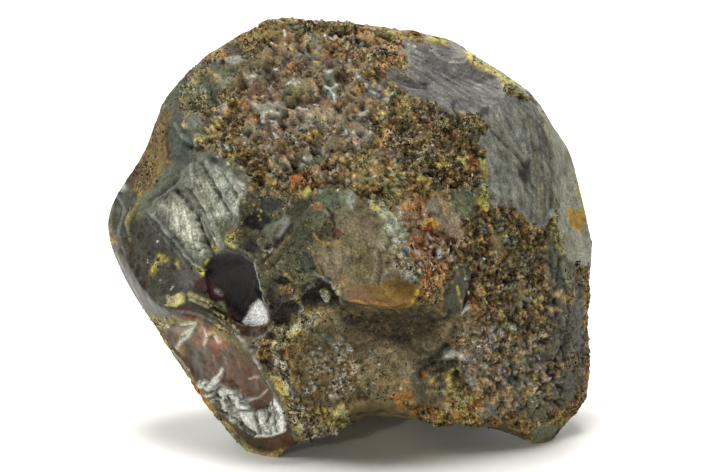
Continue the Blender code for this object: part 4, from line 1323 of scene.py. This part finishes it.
def stain_and_shade(skin, film, relief, flakes, holes):
    """Blotches, warmer and cooler small faces, and painted shade: darker low places, holes and cracks.
    """
    points, crust = skin.points, skin.fields["crust"][:, None]
    blotch = crust * 0.8 + 0.2
    for size, seed, fade, colour in STAINS:
        cloud = layered_noise(points, size, 4, SEED + seed, fade)[:, None]
        skin.tint *= 1 + blotch * cloud * np.array(colour)
    skin.tint *= 1 + crust * flakes[:, :1] * 0.45
    skin.tint *= 1 + crust * flakes[:, 1:2] * np.array((0.28, 0.0, -0.3))
    # Painted shade: lower places darker, higher ones a little lighter.
    skin.tint *= 1 + 0.8 * np.clip(relief, -0.9, 0.3)[:, None] * crust
    skin.tint *= 1 + crust * np.array((1.9, 2.05, 2.35))
    skin.tint *= 1 + film[:, None] * 0.3
    # Painted shade in small holes and cracks.
    skin.tint *= 1 - holes[:, None] * crust


def weather(skin):
    """What no mark draws: crags, pits and grain in the crust, painted shade in its low places, holes
    and cracks, and gentle waves in the glass.
    """
    points = skin.points
    polished = smoothstep(0.12, 0.32, layered_noise(points, 6, 3, SEED + 66, 0.6))
    skin.fields["crust"] *= 1 - 0.75 * polished
    skin.fields["speck"] *= 1 - 0.8 * polished
    crust = skin.fields["crust"]
    pushes = [layered_noise(points, 3, 2, SEED + 50 + axis) for axis in range(3)]
    warped = points + np.stack(pushes, 1)
    lumps = layered_noise(points, 9, 3, SEED + 60)
    crags, flakes = broken_faces(warped)
    hollow = small_holes(warped)
    veins = wandering_lines(warped, 7, 2, 0.045, SEED + 62)
    veins *= smoothstep(-0.05, 0.2, layered_noise(points, 9, 2, SEED + 63))
    cracks = wandering_lines(warped, 5, 3, 0.03, SEED + 64)
    cracks *= smoothstep(0.0, 0.2, layered_noise(points, 8, 2, SEED + 65))
    relief = 0.4 * lumps + 1.5 * crags - 0.7 * hollow + 0.4 * veins - 0.5 * cracks
    skin.height += crust * relief * 0.6
    film = (1 - crust) * (1 - skin.fields["clear"])
    weather_film(skin, film, warped)
    gather_specks(skin, relief)
    # Blotches, and painted shade in the crust's low places, holes and cracks.
    stain_and_shade(skin, film, relief, flakes, 0.75 * hollow + 0.6 * cracks)
    skin.apply(veins * crust * 0.6, (168, 128, 80))
    skin.tint = np.clip(skin.tint, 0.004, 0.9)


# ---------------------------------------------------------------- meshes

def smoothed(mesh, levels):
    """A copy of the mesh after so many rounds of smooth subdivision."""
    holder = bpy.data.objects.new("holder", mesh)
    bpy.context.scene.collection.objects.link(holder)
    smooth = holder.modifiers.new("Smooth", "SUBSURF")
    smooth.levels = smooth.render_levels = levels
    bpy.context.view_layer.update()
    graph = bpy.context.evaluated_depsgraph_get()
    result = bpy.data.meshes.new_from_object(holder.evaluated_get(graph))
    bpy.data.objects.remove(holder)
    return result


def creased_cage(cad_object):
    """The CAD solid's facets, with the ridges between them marked to stay sharp."""
    shape = bmesh.new()
    shape.from_mesh(cad_object.data)
    bmesh.ops.remove_doubles(shape, verts=shape.verts, dist=MERGE)
    bmesh.ops.join_triangles(shape, faces=shape.faces, angle_face_threshold=JOINED_FACES,
                             angle_shape_threshold=JOINED_SHAPES)
    crease = shape.edges.layers.float.new("crease_edge")
    for edge in shape.edges:
        angle = edge.calc_face_angle(0)
        if angle > SHARP_EDGE:
            edge[crease] = min(1, LEAST_CREASE + (1 - LEAST_CREASE) * (angle - SHARP_EDGE)
                               / (FULL_CREASE_EDGE - SHARP_EDGE))
    cage = bpy.data.meshes.new("cage")
    shape.to_mesh(cage)
    shape.free()
    return cage


def smooth_surface(cage):
    """The cage's smooth surface, ready to lay points on."""
    target = bmesh.new()
    target.from_mesh(smoothed(cage, REFERENCE_LEVELS))
    surface = BVHTree.FromBMesh(target)
    target.free()
    return surface


def fine_copy(cad_object):
    """The CAD solid as smooth quads with its ridges kept, finest where the camera looks."""
    cage = creased_cage(cad_object)
    surface = smooth_surface(cage)
    shape = bmesh.new()
    shape.from_mesh(smoothed(cage, 1))
    eye = Vector(CAMERA_TARGET) + CAMERA_BACK * CAMERA_DISTANCE

    def facing(face):
        return face.normal.dot((eye - face.calc_center_median()).normalized())

    front = [face for face in shape.faces if facing(face) > FRONT_REACH]
    front.sort(key=lambda face: -face.calc_area() * max(facing(face), 0.3))
    for faces, cuts in ((front[:FINEST_FACES], 2), (front[FINEST_FACES:], 1)):
        edges = list({edge for face in faces if face.is_valid for edge in face.edges})
        bmesh.ops.subdivide_edges(shape, edges=edges, cuts=cuts, use_grid_fill=True)
    for vert in shape.verts:
        vert.co = surface.find_nearest(vert.co)[0]
    shape.normal_update()
    mesh = bpy.data.meshes.new("amber_body")
    shape.to_mesh(mesh)
    shape.free()
    body = bpy.data.objects.new("amber_body", mesh)
    bpy.context.scene.collection.objects.link(body)
    return body


def mesh_arrays(mesh):
    count = len(mesh.vertices)
    points = np.empty(count * 3)
    mesh.vertices.foreach_get("co", points)
    normals = np.empty(count * 3)
    mesh.vertex_normals.foreach_get("vector", normals)
    return points.reshape(-1, 3), normals.reshape(-1, 3)


def add_number(mesh, name, values):
    mesh.attributes.new(name, "FLOAT", "POINT").data.foreach_set("value", values.astype(np.float32))


def add_colour(mesh, name, values):
    padded = np.concatenate([values, np.ones((len(values), 1))], 1).astype(np.float32)
    mesh.attributes.new(name, "FLOAT_COLOR", "POINT").data.foreach_set("color", padded.ravel())


def amber_body():
    body = fine_copy(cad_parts["raw_amber"])
    points, normals = mesh_arrays(body.data)
    skin = Skin(points, normals)
    draw_all(skin)
    weather(skin)
    lifted = skin.height * (0.3 + 0.7 * skin.turned_in) * smoothstep(0, FLOOR_FADE, points[:, 2])
    moved = points + normals * lifted[:, None] * MM
    moved[:, 2] = np.maximum(moved[:, 2], np.minimum(points[:, 2], BODY_GAP))
    body.data.vertices.foreach_set("co", moved.ravel())
    body.data.update()
    body.data.shade_smooth()
    for name, values in skin.fields.items():
        add_number(body.data, name, values)
    add_colour(body.data, "tint", skin.tint)
    body.data.materials.clear()
    body.data.materials.append(amber_material())
    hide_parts("raw_amber")
    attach(body, "root")
    return body, skin


def inner_sheet(body, skin):
    """A crumpled old break a few millimetres under the clear glass; its colours glow through."""
    sealed = skin.fields["clear"] > SHEET_BELOW
    points, normals = mesh_arrays(body.data)
    depth = 2.0 + 0.9 * layered_noise(skin.points, 4, 3, SEED + 120)
    sunk = points - normals * depth[:, None] * MM
    sunk[:, 2] = np.maximum(sunk[:, 2], SHEET_GAP)
    faces = [tuple(face.vertices) for face in body.data.polygons
             if all(sealed[index] for index in face.vertices)]
    used = sorted({index for face in faces for index in face})
    place = {index: count for count, index in enumerate(used)}
    mesh = bpy.data.meshes.new("inner_break")
    mesh.from_pydata(sunk[used], [], [[place[index] for index in face] for face in faces])
    mesh.shade_smooth()
    add_colour(mesh, "tint", np.clip(skin.tint[used] * 2.6, 0, 0.9))
    mesh.materials.append(sheet_material())
    sheet = bpy.data.objects.new("inner_break", mesh)
    bpy.context.scene.collection.objects.link(sheet)
    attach(sheet, "root")


# ---------------------------------------------------------------- crust crumbs

def crumb_shape():
    """Eight small faces around six points."""
    points = np.array([(1, 0, 0), (-1, 0, 0), (0, 1, 0), (0, -1, 0), (0, 0, 1), (0, 0, -1)])
    faces = [(0, 2, 4), (2, 1, 4), (1, 3, 4), (3, 0, 4), (2, 0, 5), (1, 2, 5), (3, 1, 5), (0, 3, 5)]
    return points.astype(float), np.array(faces)


def random_turns(rng, count):
    quaternions = rng.normal(size=(count, 4))
    quaternions /= np.linalg.norm(quaternions, axis=1)[:, None]
    w, x, y, z = quaternions.T
    return np.stack([
        1 - 2 * (y * y + z * z), 2 * (x * y - z * w), 2 * (x * z + y * w),
        2 * (x * y + z * w), 1 - 2 * (x * x + z * z), 2 * (y * z - x * w),
        2 * (x * z - y * w), 2 * (y * z + x * w), 1 - 2 * (x * x + y * y)], 1).reshape(-1, 3, 3)


def crumb_colours(rng, skin, at):
    """Each crumb is the crust's own colour or one of the palette, by what the crust holds there."""
    speck, rust = skin.fields["speck"][at], skin.fields["rust"][at]
    place = skin.points[at]
    drift = [np.exp(6 * layered_noise(place, 5, 3, SEED + 130 + kind, 0.8)).clip(0, 5)
             for kind in range(6)]
    weights = np.stack([
        1.3 + 0 * speck, (0.15 + 0.6 * speck) * drift[0], (0.06 + 0.5 * speck) * drift[1],
        (0.05 + 0.9 * rust) * drift[2], 0.03 * drift[3], (0.28 + 0.3 * speck) * drift[4],
        0.12 * drift[5]], 1)
    steps = np.cumsum(weights / weights.sum(1)[:, None], 1)
    pick = (rng.random(len(at))[:, None] > steps).sum(1).clip(0, 6)
    choices = np.array([(0, 0, 0)] + [srgb(*colour) for colour in PALETTE.values()])
    own = skin.tint[at] * rng.uniform(1.0, 2.4, len(at))[:, None]
    colours = np.where((pick == 0)[:, None], own, choices[pick])
    return colours * rng.uniform(0.6, 1.25, len(at))[:, None]


def surface_triangles(mesh):
    """The numbers of each triangle's corners."""
    mesh.calc_loop_triangles()
    corners = np.empty(len(mesh.loop_triangles) * 3, np.int32)
    mesh.loop_triangles.foreach_get("vertices", corners)
    return corners.reshape(-1, 3)


def crumb_chance(skin, side, points, corners):
    """How likely a crumb is to lie on each triangle."""
    a, b, c = points[corners[:, 0]], points[corners[:, 1]], points[corners[:, 2]]
    area = np.linalg.norm(np.cross(b - a, c - a), axis=1)
    cover = (skin.fields["crust"] ** 0.5 * skin.fields["speck"] ** 1.5 * skin.sides[side]
             * skin.turned_in ** 2 * (points[:, 2] > CRUMB_START))
    chance = area * cover[corners].mean(1)
    return chance / chance.sum()


def crumb_points(rng, shape, place, normals, size_mm):
    """The points of every crumb, each with its own size, stretch and turn, sunk a little."""
    count = len(place)
    size = rng.lognormal(math.log(size_mm), 0.35, count).clip(size_mm * 0.5, size_mm * 2.2) * MM / 2
    stretch = rng.uniform(0.55, 1.25, (count, 1, 3))
    lumpy = shape[None] * (1 + rng.uniform(-0.3, 0.3, (count, len(shape), 1)))
    turned = np.einsum("nij,nvj->nvi", random_turns(rng, count), lumpy * stretch)
    centres = place + normals * size[:, None] * 0.25
    points = (turned * size[:, None, None] + centres[:, None]).reshape(-1, 3)
    points[:, 2] = np.maximum(points[:, 2], CRUMB_GAP)
    return points


def crumb_piece(name, body, skin, side, count, size_mm, material, seed):
    """One joined mesh of crumbs, scattered where the crust is, on one side of the lump."""
    rng = np.random.default_rng(seed)
    points, normals = mesh_arrays(body.data)
    corners = surface_triangles(body.data)
    chosen = rng.choice(len(corners), count, p=crumb_chance(skin, side, points, corners))
    split = rng.dirichlet((1, 1, 1), count)
    place = np.einsum("nk,nkd->nd", split, points[corners[chosen]])
    at = corners[chosen, 0]
    shape, faces = crumb_shape()
    tris = (faces[None] + np.arange(count)[:, None, None] * len(shape)).reshape(-1, 3)
    joined = bpy.data.meshes.new(name)
    joined.from_pydata(crumb_points(rng, shape, place, normals[at], size_mm), [], tris)
    joined.update()
    add_colour(joined, "tint", np.repeat(crumb_colours(rng, skin, at), len(shape), 0))
    joined.materials.append(material)
    piece = bpy.data.objects.new(name, joined)
    bpy.context.scene.collection.objects.link(piece)
    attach(piece, "root")


# ---------------------------------------------------------------- materials

HALF = (0.5, 0.5, 0.5)


class Nodes:
    """A short way to write a material's nodes."""

    def __init__(self, name):
        self.material = bpy.data.materials.new(name)
        self.material.use_nodes = True
        self.tree = self.material.node_tree
        self.tree.nodes.clear()
        self.place = self.add("ShaderNodeTexCoord").outputs["Object"]

    def add(self, kind, settings=(), **inputs):
        node = self.tree.nodes.new(kind)
        for key, value in dict(settings).items():
            setattr(node, key, value)
        for key, value in inputs.items():
            self.feed(node.inputs[key.replace("_", " ")], value)
        return node

    def feed(self, socket, value):
        if isinstance(value, bpy.types.NodeSocket):
            self.tree.links.new(value, socket)
        else:
            socket.default_value = value

    def attribute(self, name):
        node = self.add("ShaderNodeAttribute", {"attribute_name": name})
        return node.outputs["Color" if name == "tint" else "Fac"]

    def math(self, operation, *values, clamp=False):
        node = self.add("ShaderNodeMath", {"operation": operation, "use_clamp": clamp})
        for socket, value in zip(node.inputs, values):
            self.feed(socket, value)
        return node.outputs[0]

    def mix(self, share, first, second):
        node = self.add("ShaderNodeMix", {"data_type": "RGBA"})
        self.feed(node.inputs[0], share)
        self.feed(node.inputs[6], first)
        self.feed(node.inputs[7], second)
        return node.outputs[2]

    def multiply(self, first, second):
        node = self.add("ShaderNodeMix", {"data_type": "RGBA", "blend_type": "MULTIPLY"})
        node.inputs[0].default_value = 1
        self.feed(node.inputs[6], first)
        self.feed(node.inputs[7], second)
        return node.outputs[2]

    def noise(self, size_mm, detail=3, rough=0.55):
        return self.add("ShaderNodeTexNoise", Vector=self.place, Scale=1 / (size_mm * MM),
                        Detail=detail, Roughness=rough).outputs["Fac"]

    def vector(self, operation, first, second):
        node = self.add("ShaderNodeVectorMath", {"operation": operation})
        self.feed(node.inputs[0], first)
        self.feed(node.inputs[1], second)
        return node.outputs["Value" if operation == "DOT_PRODUCT" else "Vector"]

    def warped(self, size_mm, reach_mm):
        """The place, pushed about at random."""
        cloud = self.add("ShaderNodeTexNoise", Vector=self.place, Scale=1 / (size_mm * MM),
                         Detail=2).outputs["Color"]
        push = self.vector("MULTIPLY", self.vector("SUBTRACT", cloud, HALF),
                           (reach_mm * MM,) * 3)
        return self.vector("ADD", self.place, push)

    def grains(self, size_mm, place):
        return self.add("ShaderNodeTexVoronoi", Vector=place, Scale=1 / (size_mm * MM))

    def ramp(self, value, stops):
        node = self.add("ShaderNodeValToRGB", Fac=value)
        ramp = node.color_ramp
        while len(ramp.elements) < len(stops):
            ramp.elements.new(0.5)
        for element, (spot, colour) in zip(ramp.elements, stops):
            element.position = spot
            element.color = (*srgb(*colour), 1)
        return node.outputs["Color"]

    def bump(self, height, distance, normal=None):
        node = self.add("ShaderNodeBump", Distance=distance, Height=height)
        if normal is not None:
            self.feed(node.inputs["Normal"], normal)
        return node.outputs["Normal"]

    def finish(self, volume=None, **inputs):
        shader = self.add("ShaderNodeBsdfPrincipled", **inputs)
        output = self.add("ShaderNodeOutputMaterial", Surface=shader.outputs[0])
        if volume is not None:
            self.feed(output.inputs["Volume"], volume)
        return self.material


def crust_colour(n, tint, speck, rust, chance, chance_small):
    """Grains over the crust's own colour: near black, brown, rust, ochre and pale."""
    value = n.math("MULTIPLY_ADD", chance, 0.35, n.math("MULTIPLY", chance_small, 0.65))
    shifted = n.math("ADD", value, n.math("MULTIPLY_ADD", speck, 0.34, -0.16), clamp=True)
    grains = n.ramp(shifted, [
        (0.0, (20, 17, 12)), (0.3, (60, 53, 40)), (0.5, (106, 97, 76)), (0.68, (148, 134, 102)),
        (0.82, (188, 164, 112)), (0.93, (212, 196, 142)), (1.0, (230, 224, 198))])
    rusty = n.ramp(shifted, [(0.0, (24, 12, 7)), (0.45, (96, 60, 38)), (0.8, (156, 102, 64)),
                             (1.0, (200, 146, 96))])
    grains = n.mix(n.math("MULTIPLY", rust, chance, clamp=True), grains, rusty)
    own = n.multiply(tint, n.ramp(value, [(0.1, (140, 138, 134)), (0.9, (255, 255, 255))]))
    share = n.math("MULTIPLY_ADD", speck, 0.4, 0.32, clamp=True)
    return n.mix(share, own, grains)


def tilted_grains(n, cells, place):
    """Height in metres of small broken faces, each leaning its own way."""
    away = n.vector("SUBTRACT", place, cells.outputs["Position"])
    return n.vector("DOT_PRODUCT", away, n.vector("SUBTRACT", cells.outputs["Color"], HALF))


def film_colour(n, tint, clear, fine):
    """Frosted film on the broken facets, and warmer glass where it is clear."""
    film = n.multiply(tint, n.ramp(fine, [(0.3, (110, 110, 106)), (0.5, (200, 200, 198)),
                                          (0.7, (255, 255, 250))]))
    glass = n.mix(0.12, film, (*srgb(240, 190, 120), 1))
    return n.mix(clear, film, glass)


def flaked(n, colour, flakes):
    """The colour with a shade for each flake and a dark line round it."""
    flake = n.add("ShaderNodeSeparateColor", Color=flakes.outputs["Color"]).outputs[2]
    colour = n.multiply(colour, n.ramp(flake, [(0.0, (176, 172, 164)), (0.4, (232, 228, 222)),
                                               (1.0, (255, 255, 255))]))
    return n.multiply(colour, n.ramp(flakes.outputs["Distance"], [
        (0.35, (255, 255, 255)), (0.6, (216, 212, 206)), (0.8, (140, 134, 124))]))


def break_lines(n):
    """Fine waves across the facets that have ripples, of two widths."""
    phase, ripple = n.attribute("phase"), n.attribute("ripple")
    sway = n.math("MULTIPLY_ADD", n.noise(3.0, 3), 1.6, phase)
    waves = [n.math("SINE", n.math("MULTIPLY", sway, 2 * math.pi / width)) for width in LINE_WIDTHS]
    return n.math("MULTIPLY", n.math("ADD", *waves), n.math("MULTIPLY", ripple, n.noise(2.6, 2)))


def amber_normal(n, crust, clear, fine, place, grains):
    """Waves in the film, break lines, and small broken faces in the crust."""
    film_waves = n.math("MULTIPLY_ADD", fine, 0.45, n.noise(1.6, 4))
    normal = n.bump(film_waves, n.math("MULTIPLY_ADD", clear, -0.09 * MM, 0.14 * MM))
    normal = n.bump(break_lines(n), 0.012 * MM, normal=normal)
    height = n.math("MULTIPLY", n.noise(0.4, 3), 0.12 * MM)
    for cells, steepness in zip(grains, (0.9, 0.8, 0.6)):
        height = n.math("MULTIPLY_ADD", tilted_grains(n, cells, place), steepness, height)
    return n.bump(n.math("MULTIPLY", height, n.math("POWER", crust, 0.6)), 1.0, normal=normal)


def amber_material():
    """Clear amber, frosted film or crust, as the body's attributes say at each place."""
    n = Nodes("amber")
    tint, crust, clear = n.attribute("tint"), n.attribute("crust"), n.attribute("clear")
    speck, rust, rough = n.attribute("speck"), n.attribute("rust"), n.attribute("rough")
    place = n.warped(0.7, 0.5)
    flakes, cells, small = grains = [n.grains(size, place) for size in GRAIN_SIZES]
    chance = n.add("ShaderNodeSeparateColor", Color=cells.outputs["Color"]).outputs[0]
    chance_small = n.add("ShaderNodeSeparateColor", Color=small.outputs["Color"]).outputs[1]
    fine = n.noise(0.42, 5, 0.7)
    crusty = flaked(n, crust_colour(n, tint, speck, rust, chance, chance_small), flakes)
    colour = n.mix(crust, film_colour(n, tint, clear, fine), crusty)
    normal = amber_normal(n, crust, clear, fine, place, grains)
    film_rough = n.math("MULTIPLY_ADD", fine, 0.16, n.math("SUBTRACT", rough, 0.08))
    roughness = n.add("ShaderNodeMix", Factor=crust, A=film_rough,
                      B=n.math("MULTIPLY_ADD", chance_small, 0.6, 0.16))
    absorb = n.add("ShaderNodeVolumeAbsorption", Color=ABSORBED, Density=ABSORPTION)
    bare = n.math("MULTIPLY", clear, n.math("SUBTRACT", 1, crust), clamp=True)
    return n.finish(absorb.outputs[0], Base_Color=colour, Roughness=roughness.outputs[0],
                    IOR=AMBER_IOR, Specular_IOR_Level=0.4, Specular_Tint=(0.55, 0.53, 0.5, 1),
                    Transmission_Weight=bare, Normal=normal)


def sheet_material():
    n = Nodes("inner_break")
    shade = n.ramp(n.noise(1.2, 4), [(0.3, (120, 112, 104)), (0.7, (255, 255, 255))])
    return n.finish(Base_Color=n.multiply(n.attribute("tint"), shade), Roughness=0.3, IOR=1.3,
                    Normal=n.bump(n.noise(0.8, 3), 0.1 * MM))


def crumb_material(name, low_rough, high_rough):
    n = Nodes(name)
    tint = n.attribute("tint")
    shade = n.ramp(n.noise(0.18, 2), [(0.3, (150, 150, 150)), (0.7, (255, 255, 255))])
    roughness = n.add("ShaderNodeMapRange", Value=n.noise(0.9, 1), To_Min=low_rough,
                      To_Max=high_rough)
    roughness.inputs["From Min"].default_value = 0.35
    roughness.inputs["From Max"].default_value = 0.65
    return n.finish(Base_Color=n.multiply(tint, shade), Roughness=roughness.outputs[0], IOR=1.5,
                    Normal=n.bump(n.noise(0.12, 2), 0.02 * MM))


def floor_material():
    n = Nodes("pale_floor")
    colour = n.ramp(n.noise(60, 2), [(0.3, (240, 240, 238)), (0.7, (243, 243, 241))])
    return n.finish(Base_Color=colour, Roughness=0.6, IOR=1.4)


# ---------------------------------------------------------------- the studio

def add_floor():
    shape = bmesh.new()
    bmesh.ops.create_grid(shape, x_segments=1, y_segments=1, size=FLOOR_HALF)
    mesh = bpy.data.meshes.new("floor")
    shape.to_mesh(mesh)
    shape.free()
    mesh.materials.append(floor_material())
    floor = bpy.data.objects.new("floor", mesh)
    bpy.context.scene.collection.objects.link(floor)


def add_world():
    world = bpy.data.worlds.new("studio")
    bpy.context.scene.world = world
    world.use_nodes = True
    background = world.node_tree.nodes["Background"]
    background.inputs["Color"].default_value = (1, 1, 1, 1)
    background.inputs["Strength"].default_value = WORLD_STRENGTH
    bpy.context.scene.view_settings.view_transform = "Standard"


def add_light(name, place, wide, tall, power, shiny):
    light = bpy.data.objects.new(name, bpy.data.lights.new(name, "AREA"))
    light.data.shape = "RECTANGLE"
    light.data.energy = power
    light.data.size = wide
    light.data.size_y = tall
    light.data.color = LIGHT_COLOUR
    light.visible_glossy = shiny
    light.location = place
    light.rotation_euler = (LIT_POINT - Vector(place)).to_track_quat("-Z", "Y").to_euler()
    bpy.context.scene.collection.objects.link(light)


def add_camera():
    camera = bpy.data.objects.new("camera", bpy.data.cameras.new("camera"))
    bpy.context.scene.collection.objects.link(camera)
    camera.data.lens = LENS
    camera.data.sensor_width = SENSOR
    camera.data.clip_start = 0.01
    camera.data.clip_end = 20
    camera.location = Vector(CAMERA_TARGET) + CAMERA_BACK * CAMERA_DISTANCE
    camera.rotation_euler = (-CAMERA_BACK).to_track_quat("-Z", "Y").to_euler()
    bpy.context.scene.camera = camera


add_camera()
add_floor()
add_world()
for light in LIGHTS:
    add_light(*light)
body, skin = amber_body()
inner_sheet(body, skin)
crumb_materials = {finish: crumb_material(finish + "_crumbs", *CRUMB_ROUGHNESS[finish])
                   for finish in CRUMB_ROUGHNESS}
for name, side, count, size_mm, finish, seed in CRUMBS:
    crumb_piece(name, body, skin, side, count, size_mm, crumb_materials[finish], seed)
